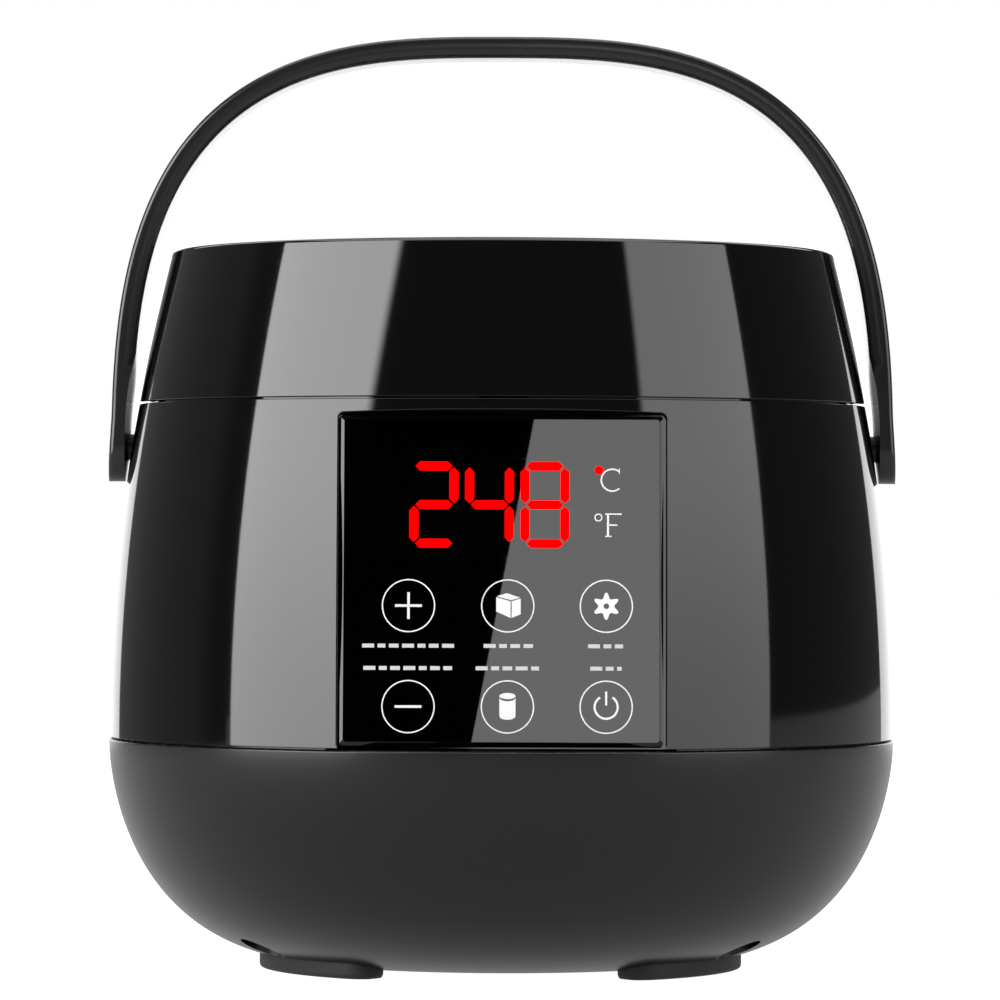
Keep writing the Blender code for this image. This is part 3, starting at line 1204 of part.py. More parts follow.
def make_looks():
    """All the materials, by what they are on."""
    return {
        "satin": material("satin_black_plastic", (0.020, 0.020, 0.021), 0.42),
        "gloss": material("gloss_black_plastic", (0.010, 0.010, 0.011), 0.10),
        "panel": material("gloss_black_panel", (0.004, 0.004, 0.005), 0.05),
        "matte": material("matte_black_plastic", (0.018, 0.018, 0.018), 0.50),
        "rubber": material("black_rubber", (0.015, 0.015, 0.015), 0.75),
        "soft": material("clear_soft_rim", (0.10, 0.10, 0.11), 0.45),
        "pane": material("smoky_clear_plastic", (0.12, 0.12, 0.13), 0.08),
        "steel": material("zinc_steel", (0.60, 0.60, 0.58), 0.32, 1.0),
        "shield": material("aluminised_sheet", (0.72, 0.73, 0.74), 0.30, 1.0),
        "pot": material("spun_aluminium", (0.80, 0.81, 0.82), 0.28, 1.0),
        "brass": material("brass", (0.80, 0.62, 0.30), 0.30, 1.0),
        "heater": material("heater_wrap", (0.42, 0.32, 0.20), 0.60),
        "wool": material("glass_fibre", (0.78, 0.75, 0.66), 0.90),
        "board": material("circuit_board", (0.03, 0.20, 0.08), 0.45),
        "display": material("display_housing", (0.85, 0.85, 0.82), 0.45),
        "relay": material("relay_case", (0.05, 0.16, 0.42), 0.40),
        "coil": material("transformer_tape", (0.75, 0.60, 0.12), 0.50),
        "terminal": material("terminal_block_case", (0.10, 0.35, 0.16), 0.45),
        "capacitor": material("capacitor_sleeve", (0.05, 0.05, 0.10), 0.35),
        "socket": material("inlet_plastic", (0.012, 0.012, 0.012), 0.38),
        "live": material("brown_lead", (0.22, 0.09, 0.03), 0.50),
        "neutral": material("blue_lead", (0.04, 0.12, 0.45), 0.50),
        "heat_lead": material("white_braid_lead", (0.80, 0.79, 0.74), 0.80),
        "signal": material("black_lead", (0.02, 0.02, 0.02), 0.50),
        "ribbon": material("grey_ribbon", (0.42, 0.42, 0.44), 0.50),
    }


def build():
    """Model every piece and hang the moving ones on their joints."""
    clear_scene()
    looks = make_looks()
    make_base(looks["satin"])
    make_feet(looks["rubber"])
    make_base_screws(looks["steel"])
    make_body(looks["gloss"])
    make_collar(looks["gloss"])
    make_panel(looks["panel"])
    make_control_parts(looks)
    make_bucket(looks["pot"])
    make_heater(looks)
    make_bracket(looks)
    make_sensors(looks)
    make_power_parts(looks)
    make_inlet(looks)
    make_leads(looks)
    handle_axis = joint_empty("handle_axis", Vector((0.0, 0.0, PIVOT_Z)))
    hang(make_handle(looks["matte"]), handle_axis, handle_axis.location)
    for side in (-1, 1):
        for piece in make_pivot(side, looks):
            hang(piece, handle_axis, handle_axis.location)
    pot_axis = joint_empty("pot_axis", Vector((0.0, 0.0, POT_RIM_Z)))
    hang(make_pot(looks["pot"]), pot_axis, pot_axis.location)
    lid_axis = joint_empty("lid_axis", Vector((0.0, 0.0, lid_seat_z())))
    for piece in make_lid(looks):
        hang(piece, lid_axis, lid_axis.location)


if __name__ == "__main__":
    build()
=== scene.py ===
"""Wax warmer pot with a touch panel: the finished look of every piece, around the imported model."""

import json
import logging
import math
from collections.abc import Callable, Iterable, Sequence
from dataclasses import dataclass
from enum import Enum

import bmesh
import bpy
from mathutils import Matrix, Vector


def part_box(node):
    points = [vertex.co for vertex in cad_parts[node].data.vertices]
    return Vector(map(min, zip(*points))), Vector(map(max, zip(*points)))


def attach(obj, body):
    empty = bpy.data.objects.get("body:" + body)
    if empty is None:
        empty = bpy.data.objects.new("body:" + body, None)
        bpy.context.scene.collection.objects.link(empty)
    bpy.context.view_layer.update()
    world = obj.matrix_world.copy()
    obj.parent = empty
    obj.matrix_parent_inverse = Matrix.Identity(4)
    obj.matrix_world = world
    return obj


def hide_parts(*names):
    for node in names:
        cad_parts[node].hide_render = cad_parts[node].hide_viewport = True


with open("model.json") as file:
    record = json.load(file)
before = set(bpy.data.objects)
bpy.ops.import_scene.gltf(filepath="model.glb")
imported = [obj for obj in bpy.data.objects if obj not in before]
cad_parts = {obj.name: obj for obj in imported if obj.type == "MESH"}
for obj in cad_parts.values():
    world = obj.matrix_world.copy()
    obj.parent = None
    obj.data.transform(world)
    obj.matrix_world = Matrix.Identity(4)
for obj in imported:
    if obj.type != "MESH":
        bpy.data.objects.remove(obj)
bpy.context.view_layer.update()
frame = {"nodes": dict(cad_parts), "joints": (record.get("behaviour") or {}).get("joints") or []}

log = logging.getLogger("wax_warmer")

MM = 0.001
TOUCH_GAP = 0.3 * MM
SEAM_GAP = 0.4 * MM
INLET_STEP = 2.6 * MM

Point2 = tuple[float, float]
Colour = tuple[float, float, float]
Mesh = bmesh.types.BMesh
Piece = bpy.types.Object
Material = bpy.types.Material
Node = bpy.types.Node
Socket = bpy.types.NodeSocket
Sockets = bpy.types.bpy_prop_collection


# ------------------------------------------------------------------ the form


@dataclass(frozen=True)
class Form:
    """The outer form that the base, body, collar, panel and handle share, in metres.

    Attributes:
        radius: Largest radius, at the seam between base and body.
        rim_radius: Radius at the collar's rim.
        base_seam: Height of the seam between base and body.
        collar_seam: Height of the seam between body and collar.
        rim: Height of the rim.
        clearance: Height of the flat underside above the floor.
        drop_power: How quickly the bowl turns in towards its floor.
        side_power: How upright the bowl's side stands.
    """

    radius: float
    rim_radius: float
    base_seam: float
    collar_seam: float
    rim: float
    clearance: float
    drop_power: float = 1.8
    side_power: float = 0.224

    @classmethod
    def from_frame(cls) -> "Form":
        """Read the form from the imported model."""
        body_low, body_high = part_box("body_shell")
        return cls(
            radius=90.0 * MM,
            rim_radius=76.0 * MM,
            base_seam=body_low.z - SEAM_GAP / 2.0,
            collar_seam=body_high.z + SEAM_GAP / 2.0,
            rim=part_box("collar")[1].z,
            clearance=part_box("base_shell")[0].z,
        )

    def barrel(self, z: float) -> float:
        """Outer radius of the body and collar at height z."""
        rise = (z - self.base_seam) / (self.rim - self.base_seam)
        return self.radius - (self.radius - self.rim_radius) * rise * abs(rise)

    def bowl(self, z: float) -> float:
        """Outer radius of the base at height z."""
        drop = min(max((self.base_seam - z) / self.base_seam, 0.0), 1.0)
        return self.radius * (1.0 - drop**self.drop_power) ** self.side_power

    def bowl_height(self, radius: float) -> float:
        """Height of the base's outer surface at a radius."""
        side = (radius / self.radius) ** (1.0 / self.side_power)
        return self.base_seam * (1.0 - (1.0 - side) ** (1.0 / self.drop_power))

    def barrel_slope(self, z: float) -> float:
        """Change of the barrel's radius with height."""
        step = 0.05 * MM
        return (self.barrel(z + step) - self.barrel(z - step)) / (2.0 * step)

    def bowl_slope(self, z: float) -> float:
        """Change of the bowl's radius with height."""
        step = 0.02 * MM
        top = min(z + step, self.base_seam)
        low = max(z - step, 0.1 * MM)
        return (self.bowl(top) - self.bowl(low)) / (top - low)


# ------------------------------------------------------------ mesh helpers


class Shading(Enum):
    """How a mesh's faces are shaded: degrees above which an edge stays sharp."""

    FLAT = 0.0
    CRISP = 25.0
    SOFT = 40.0


def new_piece(name: str, bm: Mesh, shading: Shading = Shading.SOFT) -> Piece:
    """Turn mesh data into a scene object.

    Args:
        name: The object's name.
        bm: Mesh data, freed afterwards.
        shading: How its faces are shaded.

    Returns:
        The new object, linked to the scene.
    """
    bmesh.ops.remove_doubles(bm, verts=bm.verts[:], dist=0.002 * MM)
    bmesh.ops.recalc_face_normals(bm, faces=bm.faces[:])
    mesh = bpy.data.meshes.new(name)
    bm.to_mesh(mesh)
    bm.free()
    piece = bpy.data.objects.new(name, mesh)
    bpy.context.scene.collection.objects.link(piece)
    shade(piece, shading)
    return piece


def shade(piece: Piece, shading: Shading = Shading.SOFT) -> None:
    """Set smooth faces and sharp edges by angle.

    Args:
        piece: A mesh object.
        shading: The angle above which edges stay sharp.
    """
    mesh = piece.data
    mesh.polygons.foreach_set("use_smooth", [shading is not Shading.FLAT] * len(mesh.polygons))
    if shading is not Shading.FLAT:
        mesh.set_sharp_from_angle(angle=math.radians(shading.value))
    mesh.update()


def lathe(bm: Mesh, profile: Sequence[Point2], segments: int, place: Matrix = Matrix()) -> None:
    """Revolve a closed profile of (radius, height) points about the local Z axis.

    Args:
        bm: Mesh data to add to.
        profile: The outline, in order.
        segments: Steps round the axis.
        place: Frame of the axis.
    """
    rings = []
    for radius, height in profile:
        if radius < 0.001 * MM:
            rings.append([bm.verts.new(place @ Vector((0.0, 0.0, height)))])
            continue
        ring = []
        for step in range(segments):
            angle = 2.0 * math.pi * step / segments
            point = Vector((radius * math.cos(angle), radius * math.sin(angle), height))
            ring.append(bm.verts.new(place @ point))
        rings.append(ring)
    for first, second in zip(rings, rings[1:] + rings[:1]):
        bridge(bm, first, second)


def bridge(bm: Mesh, first: list, second: list) -> None:
    """Join two rings of vertices, either of which may be a single vertex."""
    if len(first) == 1 and len(second) == 1:
        return
    count = max(len(first), len(second))
    for index in range(count):
        after = (index + 1) % count
        if len(first) == 1:
            bm.faces.new((first[0], second[after], second[index]))
        elif len(second) == 1:
            bm.faces.new((first[index], first[after], second[0]))
        else:
            bm.faces.new((first[index], first[after], second[after], second[index]))


def loft(bm: Mesh, rings: Iterable[Sequence[Vector]]) -> None:
    """Join a row of equal closed rings of points, and fill the first and the last.

    Args:
        bm: Mesh data to add to.
        rings: The rings, in order.
    """
    rows = [[bm.verts.new(point) for point in ring] for ring in rings]
    for first, second in zip(rows, rows[1:]):
        bridge(bm, first, second)
    bm.faces.new(rows[0])
    bm.faces.new(rows[-1])


def arc(centre: Point2, radius: float, start: float, end: float, steps: int) -> list[Point2]:
    """Points on an arc, angles in degrees from the first axis towards the second."""
    points = []
    for step in range(steps + 1):
        angle = math.radians(start + (end - start) * step / steps)
        points.append((centre[0] + radius * math.cos(angle), centre[1] + radius * math.sin(angle)))
    return points


def rounded_rectangle(half_x: float, half_y: float, corner: float, steps: int = 5) -> list[Point2]:
    """Outline of a rectangle with round corners, counter-clockwise."""
    points = []
    for index, (sx, sy) in enumerate(((1, 1), (-1, 1), (-1, -1), (1, -1))):
        centre = (sx * (half_x - corner), sy * (half_y - corner))
        points += arc(centre, corner, 90.0 * index, 90.0 * index + 90.0, steps)
    return points


def oblong(half: float, near: float, far: float) -> list[Point2]:
    """Outline of a rectangle that is centred across and lies between two distances."""
    return [(-half, near), (half, near), (half, far), (-half, far)]


def circle(radius: float, segments: int = 32) -> list[Point2]:
    """Outline of a circle."""
    return arc((0.0, 0.0), radius, 0.0, 360.0 * (segments - 1) / segments, segments - 1)


def prism(
    bm: Mesh,
    outline: Sequence[Point2],
    low: float,
    high: float,
    place: Matrix = Matrix(),
    fillet: float = 0.0,
) -> None:
    """Extrude an outline along the local Z axis, with an optional rounded top edge.

    Args:
        bm: Mesh data to add to.
        outline: Convex outline round the local origin.
        low: Lower height.
        high: Upper height.
        place: Local frame.
        fillet: Size of the rounding of the upper edge.
    """
    rings = [(low, 0.0)]
    if fillet:
        bends = [math.radians(a) for a in (0.0, 30.0, 60.0, 90.0)]
        rings += [(high - fillet + fillet * math.sin(a), fillet * (1.0 - math.cos(a))) for a in bends]
    else:
        rings.append((high, 0.0))
    reach_x = max(abs(x) for x, _ in outline)
    reach_y = max(abs(y) for _, y in outline)
    loft(bm, [[place @ Vector((x * (1.0 - inset / reach_x), y * (1.0 - inset / reach_y), height))
               for x, y in outline] for height, inset in rings])


def spin(degrees: float) -> Matrix:
    """Turn about the vertical axis."""
    return Matrix.Rotation(math.radians(degrees), 4, "Z")


def shift(x: float = 0.0, y: float = 0.0, z: float = 0.0) -> Matrix:
    """Move by a distance."""
    return Matrix.Translation((x, y, z))


def combine(target: Piece, bm: Mesh, operation: str) -> None:
    """Cut or join mesh data with an object, in place.

    Args:
        target: The object that is changed.
        bm: The other operand, freed afterwards.
        operation: DIFFERENCE, UNION or INTERSECT.
    """
    other = new_piece("operand", bm)
    modifier = target.modifiers.new("combine", "BOOLEAN")
    modifier.operation = operation
    modifier.object = other
    modifier.solver = "EXACT"
    graph = bpy.context.evaluated_depsgraph_get()
    result = bpy.data.meshes.new_from_object(target.evaluated_get(graph), depsgraph=graph)
    target.modifiers.clear()
    old = target.data
    target.data = result
    bpy.data.meshes.remove(old)
    bpy.data.objects.remove(other)


def follow_form(
    piece: Piece, radius: Callable[[float], float], slope: Callable[[float], float]
) -> None:
    """Give the faces that lie on a turned form the form's own exact normals.

    Args:
        piece: A mesh object about the vertical axis.
        radius: The form's radius at a height.
        slope: The change of that radius with height.
    """
    mesh = piece.data
    near = 0.12 * MM
    aligned = 0.85
    normals = [Vector(corner.vector) for corner in mesh.corner_normals]
    for face in mesh.polygons:
        centre = face.center
        if abs(math.hypot(centre.x, centre.y) - radius(centre.z)) > near:
            continue
        for index in face.loop_indices:
            point = mesh.vertices[mesh.loops[index].vertex_index].co
            reach = math.hypot(point.x, point.y)
            if reach < near or abs(reach - radius(point.z)) > near:
                continue
            exact = Vector((point.x / reach, point.y / reach, -slope(point.z))).normalized()
            if exact.dot(face.normal) > aligned:
                normals[index] = exact
    mesh.normals_split_custom_set([tuple(normal) for normal in normals])


# ------------------------------------------------------- shared shader effects


class Graph:
    """Short hand for building a node tree."""

    def __init__(self, tree: bpy.types.NodeTree) -> None:
        """Keep the tree."""
        self.tree = tree

    def add(self, kind: str, inputs: dict | None = None, **settings: object) -> Node:
        """Add a node.

        Args:
            kind: The node's type, without the ShaderNode prefix.
            inputs: Values or output sockets for its inputs, by name or number.
            **settings: The node's own properties.

        Returns:
            The new node.
        """
        node = self.tree.nodes.new("ShaderNode" + kind)
        for key, value in settings.items():
            setattr(node, key, value)
        for key, value in (inputs or {}).items():
            if isinstance(value, Socket):
                self.tree.links.new(value, node.inputs[key])
            else:
                node.inputs[key].default_value = value
        return node

    def math(self, operation: str, first: object, second: object = 0.0, clamp: bool = False) -> Socket:
        """Add a math node and return its result."""
        node = self.add("Math", {0: first, 1: second}, operation=operation, use_clamp=clamp)
        return node.outputs[0]

    def ramp(self, value: Socket, low: float, high: float) -> Socket:
        """Spread a value between two limits to 0 to 1, clamped."""
        limits = {"Value": value, "From Min": low, "From Max": high}
        return self.add("MapRange", limits, interpolation_type="SMOOTHSTEP").outputs["Result"]

    def spread(self, value: Socket, low: float, high: float) -> Socket:
        """Stretch a value from 0 to 1 over two limits."""
        return self.add("MapRange", {"Value": value, "To Min": low, "To Max": high}).outputs["Result"]

    def feed(self, shader: Node, label: str, socket: Socket) -> None:
        """Link a socket to a shader's input."""
        self.tree.links.new(socket, shader.inputs[label])

    def bump(self, shader: Node, height: Socket, depth: float, strength: float = 1.0) -> None:
        """Let a height shape the shader's normal, with its depth in millimetres."""
        node = self.add("Bump", {"Height": height, "Distance": depth * MM, "Strength": strength})
        self.feed(shader, "Normal", node.outputs[0])


class Effect:
    """A shader node group with named inputs and outputs, built once and used by many finishes."""

    name = "effect"
    inputs: tuple[tuple[str, float], ...] = ()
    outputs: tuple[str, ...] = ()

    @classmethod
    def group(cls) -> bpy.types.NodeTree:
        """Return the node group, building it the first time."""
        found = bpy.data.node_groups.get(cls.name)
        if found:
            return found
        tree = bpy.data.node_groups.new(cls.name, "ShaderNodeTree")
        for label, default in cls.inputs:
            socket = tree.interface.new_socket(label, in_out="INPUT", socket_type="NodeSocketFloat")
            socket.default_value = default
        for label in cls.outputs:
            tree.interface.new_socket(label, in_out="OUTPUT", socket_type="NodeSocketFloat")
        graph = Graph(tree)
        source = tree.nodes.new("NodeGroupInput")
        result = tree.nodes.new("NodeGroupOutput")
        for label, socket in cls.build(graph, source.outputs).items():
            tree.links.new(socket, result.inputs[label])
        return tree

    @classmethod
    def build(cls, graph: Graph, given: Sockets) -> dict[str, Socket]:
        """Build the group's nodes and return its output sockets by name."""
        raise NotImplementedError

    @classmethod
    def place(cls, graph: Graph, **values: float) -> Node:
        """Place the group in a material with its own values."""
        node = graph.tree.nodes.new("ShaderNodeGroup")
        node.node_tree = cls.group()
        for key, value in values.items():
            node.inputs[key.replace("_", " ").capitalize()].default_value = value
        return node


class MouldedGrain(Effect):
    """Fine spark texture and slow waviness of moulded plastic and rubber."""

    name = "moulded_grain"
    inputs = (("Size", 0.4), ("Waviness", 0.2))
    outputs = ("Height", "Mottle")

    @classmethod
    def build(cls, graph: Graph, given: Sockets) -> dict[str, Socket]:
        """Mix a fine grain with a slow wave."""
        place = graph.add("TexCoord").outputs["Object"]
        scale = graph.math("DIVIDE", 1000.0, given["Size"])
        fine = graph.add("TexNoise", {"Vector": place, "Scale": scale, "Detail": 2.0, "Roughness": 0.6})
        cells = graph.add("TexVoronoi", {"Vector": place, "Scale": scale}, feature="SMOOTH_F1")
        slow = graph.add("TexNoise", {"Vector": place, "Scale": 28.0, "Detail": 1.0})
        grain = graph.math("ADD", fine.outputs[0], graph.math("MULTIPLY", cells.outputs[0], 0.6))
        wave = graph.math("MULTIPLY", slow.outputs[0], given["Waviness"])
        patches = graph.add("TexNoise", {"Vector": place, "Scale": 60.0, "Detail": 3.0})
        return {"Height": graph.math("ADD", grain, wave), "Mottle": patches.outputs[0]}


class HandlingMarks(Effect):
    """Fine scratches and faint smears that change how glossy a surface is."""

    name = "handling_marks"
    inputs = (("Scratches", 0.3), ("Smears", 0.4))
    outputs = ("Mask",)

    @classmethod
    def build(cls, graph: Graph, given: Sockets) -> dict[str, Socket]:
        """Mix stretched noise in two directions with slow patches."""
        place = graph.add("TexCoord").outputs["Object"]
        lines = None
        for turn, stretch in ((0.4, (60.0, 900.0, 900.0)), (2.1, (900.0, 900.0, 70.0))):
            turned = {"Vector": place, "Rotation": (turn, turn / 2.0, turn), "Scale": stretch}
            mapping = graph.add("Mapping", turned)
            noise = graph.add("TexNoise", {"Vector": mapping.outputs[0], "Scale": 1.0, "Detail": 1.0})
            thin = graph.ramp(noise.outputs[0], 0.66, 0.72)
            lines = thin if lines is None else graph.math("MAXIMUM", lines, thin)
        patches = graph.add("TexNoise", {"Vector": place, "Scale": 18.0, "Detail": 4.0, "Roughness": 0.65})
        smear = graph.ramp(patches.outputs[0], 0.45, 0.75)
        mask = graph.math("ADD", graph.math("MULTIPLY", lines, given["Scratches"]),
                          graph.math("MULTIPLY", smear, given["Smears"]), True)
        return {"Mask": mask}


class SettledDust(Effect):
    """Thin dust on faces that look up."""

    name = "settled_dust"
    inputs = (("Amount", 0.1),)
    outputs = ("Mask",)

    @classmethod
    def build(cls, graph: Graph, given: Sockets) -> dict[str, Socket]:
        """Upward faces times a broken noise."""
        normal = graph.add("NewGeometry").outputs["Normal"]
        up = graph.add("SeparateXYZ", {"Vector": normal}).outputs["Z"]
        place = graph.add("TexCoord").outputs["Object"]
        specks = graph.add("TexNoise", {"Vector": place, "Scale": 420.0, "Detail": 4.0, "Roughness": 0.7})
        broken = graph.ramp(specks.outputs[0], 0.42, 0.7)
        level = graph.ramp(up, 0.25, 0.95)
        return {"Mask": graph.math("MULTIPLY", graph.math("MULTIPLY", level, broken), given["Amount"], True)}


class WornEdges(Effect):
    """Rubbed patches along outer edges, where hands and worktops touch."""

    name = "worn_edges"
    inputs = (("Amount", 0.3),)
    outputs = ("Mask",)

    @classmethod
    def build(cls, graph: Graph, given: Sockets) -> dict[str, Socket]:
        """Convex edges times a broken noise."""
        point = graph.add("NewGeometry").outputs["Pointiness"]
        edge = graph.ramp(point, 0.52, 0.6)
        place = graph.add("TexCoord").outputs["Object"]
        noise = graph.add("TexNoise", {"Vector": place, "Scale": 150.0, "Detail": 5.0, "Roughness": 0.7})
        broken = graph.ramp(noise.outputs[0], 0.4, 0.65)
        return {"Mask": graph.math("MULTIPLY", graph.math("MULTIPLY", edge, broken), given["Amount"], True)}


class TurningLines(Effect):
    """Fine rings left by spinning or turning metal about the vertical axis, or straight rolling lines."""

    name = "turning_lines"
    inputs = (("Rings", 1.0), ("Pitch", 0.4))
    outputs = ("Height", "Streaks")

    @classmethod
    def build(cls, graph: Graph, given: Sockets) -> dict[str, Socket]:
        """Noise stretched round the axis, or along X when Rings is 0."""
        place = graph.add("TexCoord").outputs["Object"]
        split = graph.add("SeparateXYZ", {"Vector": place})
        flat = graph.add("CombineXYZ", {"X": split.outputs["X"], "Y": split.outputs["Y"]})
        reach = graph.add("VectorMath", {0: flat.outputs[0]}, operation="LENGTH").outputs["Value"]
        ringed = graph.add("CombineXYZ", {"X": reach, "Y": split.outputs["Z"]})
        rolled = graph.add("CombineXYZ", {"X": split.outputs["Y"], "Y": split.outputs["Z"]})
        chosen = graph.add("Mix", {"Factor": given["Rings"], "A": rolled.outputs[0], "B": ringed.outputs[0]},
                           data_type="VECTOR")
        picked = next(socket for socket in chosen.outputs if socket.type == "VECTOR")
        scale = graph.math("DIVIDE", 1000.0, given["Pitch"])
        noise = graph.add("TexNoise", {"Vector": picked, "Scale": scale, "Detail": 2.0})
        broad = graph.add("TexNoise", {"Vector": picked, "Scale": 130.0, "Detail": 3.0})
        return {"Height": noise.outputs[0], "Streaks": broad.outputs[0]}


class WovenThreads(Effect):
    """Over and under threads of glass braid and woven sleeve."""

    name = "woven_threads"
    inputs = (("Pitch", 1.2),)
    outputs = ("Height", "Mottle")

    @classmethod
    def build(cls, graph: Graph, given: Sockets) -> dict[str, Socket]:
        """Two crossed waves and a fine fuzz."""
        place = graph.add("TexCoord").outputs["Object"]
        scale = graph.math("DIVIDE", 300.0, given["Pitch"])
        height = None
        for turn in (0.78, -0.78):
            mapping = graph.add("Mapping", {"Vector": place, "Rotation": (turn, 0.0, turn)})
            thread = graph.add("TexWave", {"Vector": mapping.outputs[0], "Scale": scale, "Distortion": 0.6})
            wave = thread.outputs["Fac"]
            height = wave if height is None else graph.math("MAXIMUM", height, wave)
        fuzz = graph.add("TexNoise", {"Vector": place, "Scale": 900.0, "Detail": 3.0})
        return {"Height": graph.math("ADD", height, graph.math("MULTIPLY", fuzz.outputs[0], 0.4)),
                "Mottle": fuzz.outputs[0]}


# ------------------------------------------------------------------ finishes


def fresh_material(name: str) -> tuple[Material, Graph, Node]:
    """Make a material with a Principled shader.

    Args:
        name: The material's name.

    Returns:
        The material, its graph and its Principled node.
    """
    material = bpy.data.materials.new(name)
    material.use_nodes = True
    graph = Graph(material.node_tree)
    shader = material.node_tree.nodes["Principled BSDF"]
    return material, graph, shader


def tint(graph: Graph, mask: Socket, low: Colour, high: Colour) -> Socket:
    """Mix two colours by a mask that changes over the surface."""
    node = graph.add("Mix", {"Factor": mask}, data_type="RGBA")
    colours = [socket for socket in node.inputs if socket.type == "RGBA"]
    colours[0].default_value = (*low, 1.0)
    colours[1].default_value = (*high, 1.0)
    return next(socket for socket in node.outputs if socket.type == "RGBA")


def over(graph: Graph, mask: Socket, under: Socket, top: Colour) -> Socket:
    """Lay a colour over another by a mask."""
    node = graph.add("Mix", {"Factor": mask}, data_type="RGBA")
    colours = [socket for socket in node.inputs if socket.type == "RGBA"]
    graph.tree.links.new(under, colours[0])
    colours[1].default_value = (*top, 1.0)
    return next(socket for socket in node.outputs if socket.type == "RGBA")


def lighter(colour: Colour, factor: float, lift: float = 0.0) -> Colour:
    """A colour scaled and lifted."""
    return tuple(min(channel * factor + lift, 1.0) for channel in colour)


@dataclass(frozen=True)
class Recipe:
    """A finish whose material is built once.

    Attributes:
        name: Material name.
        colour: Base colour.
    """

    name: str
    colour: Colour

    def material(self) -> Material:
        """Return the material, building it the first time."""
        found = bpy.data.materials.get(self.name)
        if found:
            return found
        material, graph, shader = fresh_material(self.name)
        self.dress(graph, shader)
        return material

    def dress(self, graph: Graph, shader: Node) -> None:
        """Fill the material's nodes."""
        raise NotImplementedError


@dataclass(frozen=True)
class Plastic(Recipe):
    """Moulded plastic or rubber.

    Attributes:
        roughness: Roughness where it is clean.
        grain: Size of the moulded texture, in millimetres.
        depth: Depth of the texture, in millimetres.
        waviness: Share of slow waves in the texture.
        marks: Strength of scratches and smears.
        dust: Amount of settled dust.
        wear: Amount of rubbed edges.
        reflectance: Index of refraction.
    """

    roughness: float
    grain: float = 0.4
    depth: float = 0.01
    waviness: float = 0.2
    marks: float = 0.1
    dust: float = 0.06
    wear: float = 0.12
    reflectance: float = 1.5

    def dress(self, graph: Graph, shader: Node) -> None:
        """Fill the material's nodes."""
        grain = MouldedGrain.place(graph, size=self.grain, waviness=self.waviness)
        marks = HandlingMarks.place(graph, scratches=self.marks, smears=self.marks)
        dust = SettledDust.place(graph, amount=self.dust)
        worn = WornEdges.place(graph, amount=self.wear)
        colour = tint(graph, grain.outputs["Mottle"], lighter(self.colour, 0.86), lighter(self.colour, 1.14))
        colour = over(graph, worn.outputs["Mask"], colour, lighter(self.colour, 1.5, 0.03))
        colour = over(graph, dust.outputs["Mask"], colour, (0.32, 0.31, 0.3))
        graph.feed(shader, "Base Color", colour)
        rough = graph.spread(marks.outputs["Mask"], self.roughness, min(self.roughness + 0.3, 1.0))
        dusty = graph.math("ADD", rough, graph.math("MULTIPLY", dust.outputs["Mask"], 0.5), True)
        graph.feed(shader, "Roughness", dusty)
        shader.inputs["IOR"].default_value = self.reflectance
        graph.bump(shader, grain.outputs["Height"], self.depth, 1.0)


@dataclass(frozen=True)
class Metal(Recipe):
    """Bare, plated or spun metal.

    Attributes:
        roughness: Roughness where it is clean.
        rings: 1 for rings about the vertical axis, 0 for straight rolling lines.
        pitch: Spacing of the lines, in millimetres.
        depth: Depth of the lines, in millimetres.
        stain: Darker colour of its streaks.
    """

    roughness: float
    rings: float = 1.0
    pitch: float = 0.3
    depth: float = 0.006
    stain: float = 0.75

    def dress(self, graph: Graph, shader: Node) -> None:
        """Fill the material's nodes."""
        lines = TurningLines.place(graph, rings=self.rings, pitch=self.pitch)
        marks = HandlingMarks.place(graph, scratches=0.4, smears=0.5)
        colour = tint(graph, lines.outputs["Streaks"], lighter(self.colour, self.stain), self.colour)
        graph.feed(shader, "Base Color", colour)
        shader.inputs["Metallic"].default_value = 1.0
        rough = graph.spread(marks.outputs["Mask"], self.roughness, min(self.roughness + 0.25, 1.0))
        graph.feed(shader, "Roughness", rough)
        graph.bump(shader, lines.outputs["Height"], self.depth, 0.8)


@dataclass(frozen=True)
class Woven(Recipe):
    """Glass braid, woven sleeve or wound tape.

    Attributes:
        pitch: Thread spacing, in millimetres.
        depth: Depth between threads, in millimetres.
    """

    pitch: float = 1.2
    depth: float = 0.15

    def dress(self, graph: Graph, shader: Node) -> None:
        """Fill the material's nodes."""
        weave = WovenThreads.place(graph, pitch=self.pitch)
        level = graph.ramp(weave.outputs["Height"], 0.2, 1.1)
        colour = tint(graph, level, lighter(self.colour, 0.5), lighter(self.colour, 1.05))
        graph.feed(shader, "Base Color", colour)
        graph.feed(shader, "Roughness", graph.spread(weave.outputs["Mottle"], 0.7, 0.95))
        graph.bump(shader, weave.outputs["Height"], self.depth, 0.9)


@dataclass(frozen=True)
class ClearPane(Recipe):
    """Smoky clear plastic.

    Attributes:
        roughness: Roughness where it is clean.
    """

    roughness: float = 0.04

    def dress(self, graph: Graph, shader: Node) -> None:
        """Fill the material's nodes."""
        marks = HandlingMarks.place(graph, scratches=0.25, smears=0.3)
        shader.inputs["Transmission Weight"].default_value = 0.9
        shader.inputs["IOR"].default_value = 1.49
        colour = tint(graph, marks.outputs["Mask"], self.colour, lighter(self.colour, 1.2))
        graph.feed(shader, "Base Color", colour)
        rough = graph.spread(marks.outputs["Mask"], self.roughness, self.roughness + 0.2)
        graph.feed(shader, "Roughness", rough)


